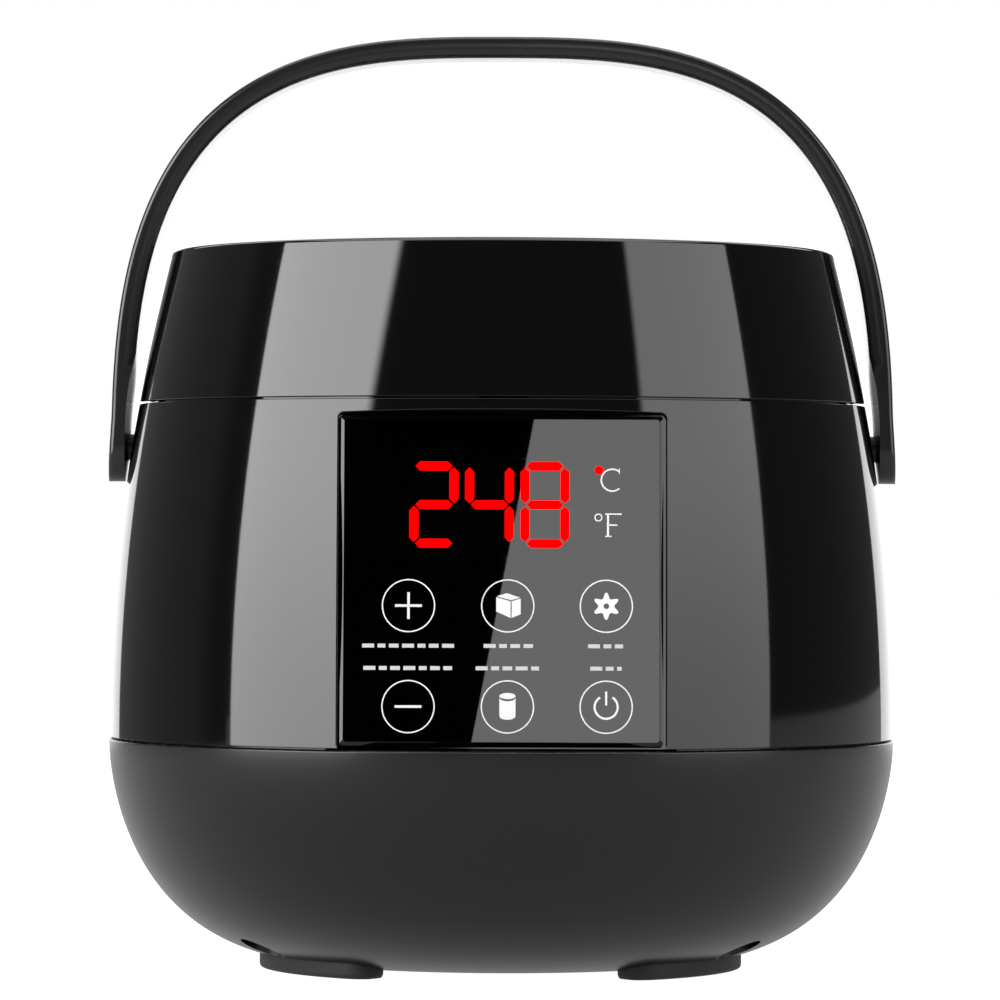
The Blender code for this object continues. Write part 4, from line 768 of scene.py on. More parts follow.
@dataclass(frozen=True)
class Ink(Recipe):
    """Screen-printed marks with painted glow, and lit marks on the touch panel.

    Attributes:
        glow: Strength of its own light: a lamp on the lit marks, painted glow on the printed marks.
    """

    glow: float

    def dress(self, graph: Graph, shader: Node) -> None:
        """Fill the material's nodes."""
        grain = MouldedGrain.place(graph, size=0.25, waviness=0.0)
        colour = tint(graph, grain.outputs["Mottle"], lighter(self.colour, 0.94), self.colour)
        graph.feed(shader, "Base Color", colour)
        # Emission: real lamp light on the lit marks, painted glow on the printed marks.
        graph.feed(shader, "Emission Color", colour)
        shader.inputs["Emission Strength"].default_value = self.glow
        shader.inputs["Roughness"].default_value = 0.6
        shader.inputs["Specular IOR Level"].default_value = 0.0


@dataclass(frozen=True)
class PrintedBoard(Recipe):
    """Circuit board with solder mask over copper tracks, in the mask's colour."""

    def dress(self, graph: Graph, shader: Node) -> None:
        """Fill the material's nodes."""
        place = graph.add("TexCoord").outputs["Object"]
        layout = {"Vector": place, "Scale": 130.0, "Mortar Size": 0.06, "Mortar Smooth": 0.1,
                  "Brick Width": 1.7, "Row Height": 0.4}
        tracks = graph.add("TexBrick", layout)
        pads = graph.add("TexVoronoi", {"Vector": place, "Scale": 260.0, "Randomness": 0.35})
        dot = graph.ramp(pads.outputs["Distance"], 0.2, 0.16)
        colour = tint(graph, tracks.outputs["Fac"], self.colour, lighter(self.colour, 1.9))
        colour = over(graph, dot, colour, (0.62, 0.6, 0.55))
        graph.feed(shader, "Base Color", colour)
        graph.feed(shader, "Roughness", graph.spread(dot, 0.32, 0.45))
        graph.bump(shader, tracks.outputs["Fac"], 0.04, 0.5)


class Finish(Enum):
    """Every finish on the warmer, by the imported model's slot name."""

    SATIN_BLACK = Plastic("satin_black_finish", (0.0028, 0.0028, 0.003), 0.25, grain=0.35, depth=0.0015,
                          marks=0.04, wear=0.03)
    GLOSS_BLACK = Plastic("gloss_black_finish", (0.0008, 0.0008, 0.0009), 0.05, grain=6.0, depth=0.0008,
                          waviness=0.6, marks=0.04, dust=0.01, wear=0.01)
    PANEL_BLACK = Plastic("panel_black_finish", (0.0004, 0.0004, 0.0005), 0.006, grain=8.0, depth=0.0002,
                          marks=0.02, dust=0.0, wear=0.0)
    MATTE_BLACK = Plastic("matte_black_finish", (0.011, 0.011, 0.0112), 0.2, grain=0.45, depth=0.006,
                          marks=0.08)
    BLACK_RUBBER = Plastic("black_rubber_finish", (0.012, 0.012, 0.012), 0.62, grain=0.5, depth=0.012,
                           dust=0.1)
    LID_SEAL = Plastic("lid_seal_finish", (0.1, 0.1, 0.105), 0.5, grain=0.5, depth=0.006)
    SMOKY_CLEAR = ClearPane("smoky_clear_finish", (0.62, 0.63, 0.65))
    ZINC_STEEL = Metal("zinc_steel_finish", (0.62, 0.62, 0.6), 0.3, rings=0.0)
    ALUMINISED_SHEET = Metal("aluminised_sheet_finish", (0.72, 0.73, 0.74), 0.32, rings=0.0, pitch=0.6)
    SPUN_ALUMINIUM = Metal("spun_aluminium_finish", (0.8, 0.81, 0.82), 0.26, pitch=0.35, depth=0.01)
    BRASS = Metal("brass_finish", (0.8, 0.6, 0.28), 0.28, rings=0.0)
    HEATER_WRAP = Woven("heater_wrap_finish", (0.42, 0.32, 0.2), pitch=2.4, depth=0.08)
    GLASS_FIBRE = Woven("glass_fibre_finish", (0.78, 0.75, 0.66), pitch=1.4, depth=0.2)
    CIRCUIT_BOARD = PrintedBoard("circuit_board_finish", (0.02, 0.16, 0.06))
    DISPLAY_WHITE = Plastic("display_white_finish", (0.8, 0.8, 0.77), 0.45, grain=0.6)
    RELAY_BLUE = Plastic("relay_blue_finish", (0.04, 0.14, 0.4), 0.22, grain=0.8)
    TRANSFORMER_TAPE = Woven("transformer_tape_finish", (0.75, 0.58, 0.1), pitch=3.0, depth=0.03)
    TERMINAL_GREEN = Plastic("terminal_green_finish", (0.08, 0.33, 0.14), 0.38, grain=0.6)
    CAPACITOR_SLEEVE = Plastic("capacitor_sleeve_finish", (0.04, 0.04, 0.09), 0.2, grain=2.0)
    INLET_PLASTIC = Plastic("inlet_plastic_finish", (0.012, 0.012, 0.012), 0.4, grain=0.4, depth=0.008)
    BROWN_LEAD = Plastic("brown_lead_finish", (0.2, 0.08, 0.03), 0.38, grain=0.6)
    BLUE_LEAD = Plastic("blue_lead_finish", (0.035, 0.11, 0.42), 0.38, grain=0.6)
    BRAIDED_LEAD = Woven("braided_lead_finish", (0.8, 0.79, 0.74), pitch=0.6, depth=0.1)
    BLACK_LEAD = Plastic("black_lead_finish", (0.018, 0.018, 0.018), 0.4, grain=0.6)
    GREY_RIBBON = Plastic("grey_ribbon_finish", (0.4, 0.4, 0.42), 0.45, grain=0.8)

    def material(self) -> Material:
        """The finish's material."""
        return self.value.material()

    @property
    def slot(self) -> str:
        """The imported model's slot name."""
        return self.name.lower()


class Marks(Enum):
    """Printed inks, which glow a little as painted light, and lamps of the touch panel."""

    LIT_RED = Ink("lit_red_finish", (1.0, 0.0, 0.0), 1.0)
    # The printed inks glow a little though they are no lamp: painted glow that keeps the print bright under
    # any lighting.
    PRINT_WHITE = Ink("print_white_painted_glow_finish", (0.78, 0.78, 0.78), 0.22)
    PRINT_SOFT = Ink("print_soft_painted_glow_finish", (0.6, 0.6, 0.6), 0.12)

    def material(self) -> Material:
        """The mark's material."""
        return self.value.material()


def place_piece(piece: Piece, body: str, finish: Finish, *nodes: str) -> Piece:
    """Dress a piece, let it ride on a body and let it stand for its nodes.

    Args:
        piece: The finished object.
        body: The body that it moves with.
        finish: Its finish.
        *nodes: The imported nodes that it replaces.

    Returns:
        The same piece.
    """
    piece.data.materials.clear()
    piece.data.materials.append(finish.material())
    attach(piece, body)
    finish.slot
    if nodes:
        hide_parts(*nodes)
    log.info("%s rides on %s and stands for %s", piece.name, body, ", ".join(nodes) or "nothing else")
    return piece


# -------------------------------------------------------------------- housing

FORM = Form.from_frame()
SUPPORT_ANGLES = {"left": 210.0, "right": 330.0, "rear": 90.0}


def loose_mesh(piece: Piece) -> Mesh:
    """Take an object's mesh data out and remove the object."""
    bm = bmesh.new()
    bm.from_mesh(piece.data)
    bpy.data.objects.remove(piece)
    return bm


def fillet_lip(radius: float, seam: float, fillet: float, up: bool) -> list[Point2]:
    """Quarter round at a seam, from the flat face out to the side.

    Args:
        radius: Outer radius beside the lip.
        seam: Height of the flat face.
        fillet: Size of the rounding.
        up: Whether the body lies above the flat face.

    Returns:
        Points from the flat face to the side.
    """
    sign = 1.0 if up else -1.0
    points = arc((radius - fillet, seam + sign * fillet), fillet, -90.0 * sign, 0.0, 5)
    return points[:-1]


@dataclass
class BaseShell:
    """The satin bowl with its wells, foot pockets, vents and the inlet's seat."""

    segments: int = 192
    wall: float = 2.5 * MM
    lip: float = 0.7 * MM
    lap_height: float = 4.0 * MM
    lap_wall: float = 2.4 * MM
    floor: float = 3.0 * MM
    foot_radius: float = 55.7 * MM
    foot_width: float = 11.2 * MM
    foot_arc: float = 55.1
    well_circle: float = 61.7 * MM
    well_radius: float = 5.0 * MM
    well_depth: float = 3.8 * MM
    vent_count: int = 8
    vent_reach: tuple[float, float] = (20.0 * MM, 34.0 * MM)
    vent_width: float = 2.4 * MM

    def outer_points(self, count: int, top: float) -> list[Point2]:
        """Points down the bowl's outside."""
        points = []
        for step in range(count):
            share = (1.0 - step / (count - 1)) ** 1.8
            z = FORM.clearance + (top - FORM.clearance) * share
            points.append((FORM.bowl(z), z))
        return points

    def profile(self) -> list[Point2]:
        """The bowl's closed outline."""
        top = FORM.base_seam - SEAM_GAP / 2.0
        outer = fillet_lip(FORM.radius, top, self.lip, up=False)
        outer += self.outer_points(44, top - self.lip)
        floor_z = FORM.clearance + self.floor
        seat_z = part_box("foot_left")[1].z + TOUCH_GAP + 2.7 * MM
        seat_edge = self.foot_radius - self.foot_width - 2.0 * MM
        floor = [(0.0, FORM.clearance), (0.0, floor_z), (seat_edge, floor_z), (seat_edge, seat_z)]
        inner = []
        for step in range(16):
            z = seat_z + (top - 2.0 * self.lap_height - seat_z) * (step / 15.0) ** 1.5
            inner.append((FORM.bowl(max(z - 1.2 * MM, FORM.clearance)) - self.wall, z))
        lap = FORM.radius - self.wall - SEAM_GAP
        edge = [(lap - self.lap_wall, top - self.lap_height), (lap - self.lap_wall, top + self.lap_height),
                (lap, top + self.lap_height), (lap, top)]
        return outer + floor + inner + edge

    def well_floor(self) -> float:
        """Height of the face that the screw heads bear on."""
        return FORM.bowl_height(self.well_circle + self.well_radius) + self.well_depth

    def bosses(self) -> Mesh:
        """Thick rings round the wells and the inlet, and the sill behind the panel, trimmed to the bowl."""
        bm = bmesh.new()
        shoulder = self.well_floor() + 2.5 * MM
        outline = [(0.0, 0.0), (self.well_radius + 1.5 * MM, 0.0), (self.well_radius + 1.5 * MM, shoulder),
                   (0.0, shoulder)]
        for angle in SUPPORT_ANGLES.values():
            lathe(bm, outline, 40, spin(angle) @ shift(x=self.well_circle) @ spin(3.0))
        low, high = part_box("inlet_socket")
        middle = shift(0.0, high.y, (low.z + high.z) / 2.0)
        half = (high.x - low.x) / 2.0
        prism(bm, rounded_rectangle(half + 1.0 * MM, (high.z - low.z) / 2.0 + 1.0 * MM, 2.0 * MM),
              -5.0 * MM, 12.0 * MM, middle @ Matrix.Rotation(math.radians(90.0), 4, "X"))
        sill = FORM.base_seam - SEAM_GAP / 2.0
        prism(bm, oblong(33.0 * MM, -0.97 * FORM.radius, -80.0 * MM), sill - 2.0 * MM, sill + 0.001 * MM)
        bosses = new_piece("bosses", bm)
        core = bmesh.new()
        top = FORM.base_seam - SEAM_GAP / 2.0
        points = [(radius - 0.5 * MM, z) for radius, z in self.outer_points(30, top - self.lip)]
        lathe(core, [(0.0, top), (FORM.radius - self.lip, top), *points, (0.0, points[-1][1])], 96)
        combine(bosses, core, "INTERSECT")
        return loose_mesh(bosses)

    def cutters(self) -> Mesh:
        """Wells, foot pockets and vents."""
        bm = bmesh.new()
        floor_z = self.well_floor()
        well = [(0.0, -1.0 * MM), (self.well_radius, -1.0 * MM), (self.well_radius, floor_z), (0.0, floor_z)]
        for angle in SUPPORT_ANGLES.values():
            lathe(bm, well, 56, spin(angle) @ shift(x=self.well_circle) @ spin(2.0))
        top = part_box("foot_left")[1].z + TOUCH_GAP
        for angle in SUPPORT_ANGLES.values():
            sector(bm, angle, self.foot_radius - self.foot_width - TOUCH_GAP, self.foot_radius + TOUCH_GAP,
                   self.foot_arc, -1.0 * MM, top)
        middle = sum(self.vent_reach) / 2.0
        half = (self.vent_reach[1] - self.vent_reach[0]) / 2.0
        for step in range(self.vent_count):
            outline = rounded_rectangle(half, self.vent_width / 2.0, self.vent_width / 2.01, 6)
            prism(bm, outline, 0.0, FORM.clearance + 2.0 * self.floor,
                  spin(360.0 * step / self.vent_count) @ shift(x=middle))
        return bm

    def inlet_seat(self) -> Mesh:
        """The sunk seat of the inlet's flange, stepped down to the opening for its body."""
        low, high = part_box("inlet_socket")
        place = shift(0.0, high.y, (low.z + high.z) / 2.0) @ Matrix.Rotation(math.radians(-90.0), 4, "X")
        half_x = (high.x - low.x) / 2.0
        half_z = (high.z - low.z) / 2.0
        bm = bmesh.new()
        rings = []
        seat = -2.3 * MM
        for height, inset in ((-30.0 * MM, INLET_STEP), (seat, INLET_STEP), (seat, 0.0), (12.0 * MM, 0.0)):
            outline = rounded_rectangle(half_x + TOUCH_GAP - inset, half_z + TOUCH_GAP - inset, 1.5 * MM)
            rings.append([place @ Vector((x, y, height)) for x, y in outline])
        loft(bm, rings)
        return bm

    def lap_cut(self) -> Mesh:
        """Room in the lap for the panel's pocket."""
        bm = bmesh.new()
        top = FORM.base_seam - SEAM_GAP / 2.0
        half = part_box("touch_panel")[1].x + 3.1 * MM
        prism(bm, oblong(half, -100.0 * MM, -45.0 * MM), top + 0.002 * MM, top + 9.0 * MM)
        return bm

    def build(self) -> Piece:
        """Build and dress the bowl."""
        bm = bmesh.new()
        lathe(bm, self.profile(), self.segments)
        piece = new_piece("base_bowl", bm)
        combine(piece, self.bosses(), "UNION")
        combine(piece, self.cutters(), "DIFFERENCE")
        combine(piece, self.inlet_seat(), "DIFFERENCE")
        combine(piece, self.lap_cut(), "DIFFERENCE")
        shade(piece, Shading.CRISP)
        follow_form(piece, FORM.bowl, FORM.bowl_slope)
        return place_piece(piece, "housing", Finish.SATIN_BLACK, "base_shell")


def sector(
    bm: Mesh, angle: float, inner: float, outer: float, span: float,
    low: float, high: float, fillet: float = 0.0,
) -> None:
    """An arc-shaped block about the vertical axis, with round ends and a rounded lower edge.

    Args:
        bm: Mesh data to add to.
        angle: Direction of its middle, in degrees.
        inner: Inner radius.
        outer: Outer radius.
        span: Its length round the axis, in degrees.
        low: Lower height.
        high: Upper height.
        fillet: Rounding of the lower edges and ends.
    """
    reach = (outer - inner) / 2.0
    middle = (outer + inner) / 2.0
    straight = math.radians(span / 2.0) - reach / middle
    bends = [math.radians(a) for a in (15.0, 30.0, 44.0, 54.0, 63.0, 72.0, 80.0)]
    end = []
    for bend in bends:
        past = max(math.sin(bend) - 1.0 + fillet / reach, 0.0) * reach
        rise = fillet - math.sqrt(fillet**2 - past**2)
        end.append((straight + reach * math.sin(bend) / middle, reach * (1.0 - math.cos(bend)), rise))
    stations = [(-turn, inset, rise) for turn, inset, rise in reversed(end)]
    stations += [(straight * (2.0 * step / 24.0 - 1.0), 0.0, 0.0) for step in range(25)]
    stations += end
    rings = []
    for turn, inset, rise in stations:
        near, far, under = inner + inset, outer - inset, low + rise
        section = [(near, high)]
        if fillet:
            edge = min(fillet, 0.45 * (far - near))
            section += arc((near + edge, under + edge), edge, 180.0, 270.0, 4)
            section += arc((far - edge, under + edge), edge, 270.0, 360.0, 4)
        else:
            section += [(near, under), (far, under)]
        section.append((far, high))
        place = spin(angle) @ Matrix.Rotation(turn, 4, "Z")
        rings.append([place @ Vector((radius, 0.0, z)) for radius, z in section])
    loft(bm, rings)


@dataclass
class Feet:
    """Three arc-shaped rubber feet."""

    outer: float = 55.7 * MM
    width: float = 11.2 * MM
    span: float = 54.5
    fillet: float = 1.3 * MM

    def build(self) -> None:
        """Build and dress the feet."""
        for side, angle in SUPPORT_ANGLES.items():
            low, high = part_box(f"foot_{side}")
            bm = bmesh.new()
            sector(bm, angle, self.outer - self.width, self.outer, self.span, low.z, high.z, self.fillet)
            piece = new_piece(f"rubber_foot_{side}", bm)
            place_piece(piece, "housing", Finish.BLACK_RUBBER, f"foot_{side}")


@dataclass
class PanelPlace:
    """Where the flat touch panel stands in the body."""

    half_width: float = 35.0 * MM
    bottom: float = 53.5 * MM
    top: float = 125.0 * MM
    thickness: float = 3.1 * MM
    recess: float = -0.2 * MM
    corner: float = 1.0 * MM
    gap: float = 0.65 * MM

    def depth(self, z: float) -> float:
        """Distance of the panel's face from the axis at one of its ends."""
        return math.sqrt(FORM.barrel(z) ** 2 - self.half_width**2) - self.recess

    def frame(self) -> Matrix:
        """Frame at the panel's middle: X to the right, Y up its face, Z out towards the front."""
        low = Vector((0.0, -self.depth(self.bottom), self.bottom))
        high = Vector((0.0, -self.depth(self.top), self.top))
        lean = math.atan2(high.y - low.y, high.z - low.z)
        turn = Matrix.Rotation(math.radians(90.0) - lean, 4, "X")
        return Matrix.Translation((low + high) / 2.0) @ turn

    def half_height(self) -> float:
        """Half the panel's height along its face."""
        return math.hypot(self.top - self.bottom, self.depth(self.bottom) - self.depth(self.top)) / 2.0

    def surface(self, x: float, y: float) -> float:
        """How far the barrel's surface stands in front of the panel's face at a point of the face."""
        frame_ = self.frame()
        low, high = -5.0 * MM, 20.0 * MM
        for _ in range(36):
            middle = (low + high) / 2.0
            point = frame_ @ Vector((x, y, middle))
            if math.hypot(point.x, point.y) < FORM.barrel(point.z):
                low = middle
            else:
                high = middle
        return (low + high) / 2.0


PANEL = PanelPlace()


@dataclass
class BodyShell:
    """The gloss barrel with the panel's pocket and the handle's pivot bores."""

    segments: int = 240
    wall: float = 2.5 * MM
    lip: float = 0.3 * MM
    edge: float = 0.3 * MM
    pin_radius: float = 3.0 * MM

    def profile(self) -> list[Point2]:
        """The barrel's closed outline."""
        low = FORM.base_seam + SEAM_GAP / 2.0
        high = FORM.collar_seam - SEAM_GAP / 2.0
        outer = fillet_lip(FORM.barrel(low), low, self.lip, up=True)
        for step in range(25):
            z = low + self.lip + (high - low - 2.0 * self.lip) * step / 24.0
            outer.append((FORM.barrel(z), z))
        outer += list(reversed(fillet_lip(FORM.barrel(high), high, self.lip, up=False)))
        inner = []
        for step in range(9):
            z = high + (low - high) * step / 8.0
            inner.append((FORM.barrel(z) - self.wall, z))
        return outer + inner

    def pocket_block(self) -> Mesh:
        """Solid backing behind the panel, trimmed to the barrel."""
        place = PANEL.frame()
        half = PANEL.half_width + PANEL.gap + 2.0 * MM
        ledge = 1.6 * MM
        back = PANEL.thickness + TOUCH_GAP + ledge
        low = FORM.base_seam + SEAM_GAP / 2.0
        high = PANEL.top + PANEL.gap + 2.0 * MM
        rings = []
        for z in (low, high):
            face = place @ Vector((0.0, 0.0, -back))
            along = place.to_3x3() @ Vector((0.0, 1.0, 0.0))
            y = face.y + along.y * (z - face.z) / along.z
            rings.append([Vector((x, depth, z)) for x, depth in oblong(half, -FORM.radius, y)])
        bm = bmesh.new()
        loft(bm, rings)
        block = new_piece("block", bm)
        core = bmesh.new()
        heights = [low + (high - low) * step / 10.0 for step in range(11)]
        points = [(FORM.barrel(z) - 0.8 * MM, z) for z in heights]
        lathe(core, [(0.0, low), *points, (0.0, high)], 96)
        combine(block, core, "INTERSECT")
        return loose_mesh(block)

    def pocket(self) -> Mesh:
        """The pocket's cutter, whose mouth widens to soften the edge along the barrel's surface."""
        place = PANEL.frame()
        half_x = PANEL.half_width + PANEL.gap
        half_y = PANEL.half_height() + PANEL.gap
        outline = rounded_rectangle(half_x, half_y, PANEL.corner, 6)
        spacing = 3.0 * MM
        dense = []
        for (ax, ay), (bx, by) in zip(outline, outline[1:] + outline[:1]):
            pieces = max(1, round(math.dist((ax, ay), (bx, by)) / spacing))
            dense += [(ax + (bx - ax) * s / pieces, ay + (by - ay) * s / pieces) for s in range(pieces)]
        back = -PANEL.thickness - TOUCH_GAP
        rings = [[place @ Vector((x, y, back)) for x, y in dense]]
        for angle in (0.0, 22.0, 45.0, 64.0):
            turn = math.radians(angle)
            out = self.edge * (1.0 - math.cos(turn))
            ring = []
            for x, y in dense:
                wide_x = x * (1.0 + out / half_x)
                wide_y = y * (1.0 + out / half_y)
                level = PANEL.surface(wide_x, wide_y) - self.edge * (1.0 - math.sin(turn)) - 0.03 * MM
                ring.append(place @ Vector((wide_x, wide_y, max(level, back + 0.2 * MM))))
            rings.append(ring)
        last = []
        for x, y in dense:
            wide_x = x * (1.0 + 1.3 * self.edge / half_x)
            wide_y = y * (1.0 + 1.3 * self.edge / half_y)
            last.append(place @ Vector((wide_x, wide_y, PANEL.surface(wide_x, wide_y) + 0.25 * MM)))
        rings.append(last)
        rings.append([place @ Vector((x, y, 30.0 * MM)) for x, y in dense])
        bm = bmesh.new()
        loft(bm, rings)
        return bm

    def below_pocket(self) -> Mesh:
        """Opens the pocket down to the base's sill."""
        place = PANEL.frame()
        half = PANEL.half_width + PANEL.gap
        bm = bmesh.new()
        outline = oblong(half, -1.2 * PANEL.half_height(), -0.9 * PANEL.half_height())
        loft(bm, [[place @ Vector((x, y, z)) for x, y in outline]
                  for z in (-PANEL.thickness - TOUCH_GAP, 30.0 * MM)])
        return bm

    def build(self) -> Piece:
        """Build and dress the barrel."""
        bm = bmesh.new()
        lathe(bm, self.profile(), self.segments)
        piece = new_piece("body_barrel", bm)
        combine(piece, self.pocket_block(), "UNION")
        combine(piece, self.pocket(), "DIFFERENCE")
        combine(piece, self.below_pocket(), "DIFFERENCE")
        pivot = frame_point("handle_swing")
        bores = bmesh.new()
        for side in (-1.0, 1.0):
            place = shift(z=pivot.z) @ Matrix.Rotation(side * math.radians(90.0), 4, "Y")
            prism(bores, circle(self.pin_radius + TOUCH_GAP), 0.7 * FORM.radius, 1.1 * FORM.radius, place)
        combine(piece, bores, "DIFFERENCE")
        shade(piece, Shading.CRISP)
        follow_form(piece, FORM.barrel, FORM.barrel_slope)
        return place_piece(piece, "housing", Finish.GLOSS_BLACK, "body_shell")


def frame_point(joint: str) -> Vector:
    """The point that a joint turns about."""
    found = next(j for j in frame["joints"] if j["name"] == joint)
    return Vector(found["pos_m"])


@dataclass
class Collar:
    """The gloss top ring, its rim, the lid's step and the throat."""

    segments: int = 240
    wall: float = 3.0 * MM
    lip: float = 0.3 * MM
    rim_round: float = 2.0 * MM

    def profile(self) -> list[Point2]:
        """The ring's closed outline."""
        low = FORM.collar_seam + SEAM_GAP / 2.0
        lap = FORM.barrel(FORM.collar_seam) - 3.5 * MM
        lap_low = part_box("collar")[0].z
        outline = [(lap - 2.4 * MM, min(low - 2.6 * MM, low)), (lap, low - 2.6 * MM), (lap, low)]
        outline += fillet_lip(FORM.barrel(low), low, self.lip, up=True)
        high = FORM.rim - self.rim_round
        for step in range(13):
            z = low + self.lip + (high - low - self.lip) * step / 12.0
            outline.append((FORM.barrel(z), z))
        outline += arc((FORM.barrel(high) - self.rim_round, high), self.rim_round, 8.0, 180.0, 12)
        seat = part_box("lid_rim")[0].z - TOUCH_GAP
        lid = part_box("lid_rim")[1].x
        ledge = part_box("heater_bucket")[1].z
        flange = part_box("heater_bucket")[1].x
        inner_edge = lid - 4.0 * MM
        outline += [(lid + x * MM, seat + z * MM) for x, z in ((1.0, 1.0), (0.8, 0.3), (0.4, 0.0))]
        outline += [(inner_edge, seat), (inner_edge - 0.6 * MM, seat - 0.6 * MM)]
        under = ledge - 1.5 * MM
        throat = flange - 9.4 * MM + 0.6 * MM
        outline += [(flange + 0.9 * MM, under + 1.2 * MM), (flange + 0.6 * MM, under), (throat, under),
                    (throat, lap_low), (throat + self.wall, lap_low),
                    (throat + self.wall, under - self.wall),
                    (FORM.barrel(under) - 5.5 * MM, under - self.wall)]
        return outline

    def build(self) -> Piece:
        """Build and dress the ring."""
        bm = bmesh.new()
        lathe(bm, self.profile(), self.segments)
        piece = new_piece("collar_ring", bm, Shading.CRISP)
        follow_form(piece, FORM.barrel, FORM.barrel_slope)
        return place_piece(piece, "housing", Finish.GLOSS_BLACK, "collar")


# --------------------------------------------------------------- touch panel


@dataclass
class TouchPanel:
    """The gloss plate with its lit figures and printed key marks, whose print carries painted glow."""

    bevel_width: float = 0.75 * MM
    bevel_depth: float = 0.33 * MM
    corner: float = 0.7 * MM
    ink: float = 0.05 * MM
    sink: float = 0.04 * MM
    display: Point2 = (-2.75 * MM, 16.45 * MM)
    digit_pitch: float = 12.05 * MM
    digit_width: float = 10.6 * MM
    digit_height: float = 18.8 * MM
    segment: float = 1.95 * MM
    lamp: Point2 = (21.0 * MM, 24.05 * MM)
    celsius: Point2 = (23.9 * MM, 21.9 * MM)
    fahrenheit: Point2 = (24.0 * MM, 12.1 * MM)
    degree: Point2 = (20.9 * MM, 13.75 * MM)
    key_x: tuple[float, float, float] = (-20.2 * MM, 1.3 * MM, 22.65 * MM)
    key_rows: Point2 = (-5.55 * MM, -27.45 * MM)
    ring: float = 5.65 * MM
    stroke: float = 0.27 * MM

    def plate(self) -> Piece:
        """The plate, with a flat bevel round its face."""
        half_height = PANEL.half_height()
        rings = []
        levels = ((-PANEL.thickness, 0.0), (-self.bevel_depth, 0.0),
                  (-0.03 * MM, self.bevel_width - 0.07 * MM), (0.0, self.bevel_width + 0.05 * MM))
        for depth, inset in levels:
            outline = rounded_rectangle(PANEL.half_width - inset, half_height - inset, self.corner, 6)
            rings.append([PANEL.frame() @ Vector((x, y, depth)) for x, y in outline])
        bm = bmesh.new()
        loft(bm, rings)
        piece = new_piece("panel_plate", bm, Shading.FLAT)
        return place_piece(piece, "housing", Finish.PANEL_BLACK, "touch_panel")

    def mark(self, bm: Mesh, outline: Sequence[Point2]) -> None:
        """Add one flat printed shape to mesh data.

        Args:
            bm: Mesh data to add to.
            outline: Its outline on the panel's face.
        """
        place = PANEL.frame()
        loft(bm, [[place @ Vector((x, y, z)) for x, y in outline] for z in (-self.sink, self.ink)])

    def band(self, bm: Mesh, points: Sequence[Point2], width: float, closed: bool = False) -> None:
        """Add a line of even width along points of the panel's face.

        Args:
            bm: Mesh data to add to.
            points: The line's middle.
            width: Its width.
            closed: Whether it joins its start.
        """
        place = PANEL.frame()
        count = len(points)
        sections = []
        for index, (x, y) in enumerate(points):
            before = points[index - 1] if closed or index else points[index]
            after = points[(index + 1) % count] if closed or index < count - 1 else points[index]
            along = Vector((after[0] - before[0], after[1] - before[1])).normalized()
            across = Vector((-along.y, along.x)) * width / 2.0
            (ax, ay), (bx, by) = (x - across.x, y - across.y), (x + across.x, y + across.y)
            corners = ((ax, ay, -self.sink), (bx, by, -self.sink), (bx, by, self.ink), (ax, ay, self.ink))
            sections.append([place @ Vector(corner) for corner in corners])
        if closed:
            self.hoop(bm, sections)
        else:
            loft(bm, sections)

    def hoop(self, bm: Mesh, sections: Sequence[Sequence[Vector]]) -> None:
        """Join sections into a closed ring of mesh data."""
        rows = [[bm.verts.new(point) for point in section] for section in sections]
        for first, second in zip(rows, rows[1:] + rows[:1]):
            bridge(bm, first, second)

    def digit(self, bm: Mesh, centre: Point2, lit: str) -> None:
        """Add the lit segments of one figure.

        Args:
            bm: Mesh data to add to.
            centre: The figure's middle.
            lit: Letters of its lit segments, a to g.
        """
        half_x = (self.digit_width - self.segment) / 2.0
        half_y = (self.digit_height - self.segment) / 2.0
        gap = 0.32 * MM
        ends = {"a": ((-half_x, half_y), (half_x, half_y)), "b": ((half_x, half_y), (half_x, 0.0)),
                "c": ((half_x, 0.0), (half_x, -half_y)), "d": ((-half_x, -half_y), (half_x, -half_y)),
                "e": ((-half_x, 0.0), (-half_x, -half_y)), "f": ((-half_x, half_y), (-half_x, 0.0)),
                "g": ((-half_x, 0.0), (half_x, 0.0))}
        for letter in lit:
            start = Vector(ends[letter][0])
            end = Vector(ends[letter][1])
            along = (end - start).normalized()
            across = Vector((-along.y, along.x)) * self.segment / 2.0
            tip = self.segment / 2.0
            first = start + along * gap
            last = end - along * gap
            shape = [first, first + along * tip + across, last - along * tip + across, last,
                     last - along * tip - across, first + along * tip - across]
            self.mark(bm, [(centre[0] + p.x, centre[1] + p.y) for p in shape])

    def figures(self) -> None:
        """The lit figures and the lamp beside the unit."""
        bm = bmesh.new()
        shapes = (("abged", -1), ("fgbc", 0), ("abcdefg", 1))
        for lit, column in shapes:
            self.digit(bm, (self.display[0] + column * self.digit_pitch, self.display[1]), lit)
        self.finish(new_piece("lit_figures", bm, Shading.FLAT), Marks.LIT_RED, "display_white")
        bm = bmesh.new()
        x, y = self.lamp
        self.mark(bm, [(x + a, y + b) for a, b in circle(0.95 * MM, 24)])
        self.finish(new_piece("unit_lamp", bm, Shading.FLAT), Marks.LIT_RED, "display_white")

    def letter_c(self, bm: Mesh, x: float, y: float, size: float) -> None:
        """A capital C."""
        self.band(bm, arc((x, y), size * 0.46, 50.0, 310.0, 20), 0.34 * MM)
        self.band(bm, [(x + size * 0.3, y + size * 0.5), (x + size * 0.3, y + size * 0.25)], 0.15 * MM)

    def letter_f(self, bm: Mesh, x: float, y: float, size: float) -> None:
        """A capital F."""
        left = x - size * 0.2
        self.band(bm, [(left, y - size * 0.5), (left, y + size * 0.5)], 0.45 * MM)
        self.band(bm, [(left - 0.6 * MM, y + size * 0.47), (x + size * 0.38, y + size * 0.47)], 0.3 * MM)
        self.band(bm, [(left, y), (x + size * 0.2, y)], 0.3 * MM)
        self.band(bm, [(left - 0.6 * MM, y - size * 0.48), (left + 0.8 * MM, y - size * 0.48)], 0.25 * MM)

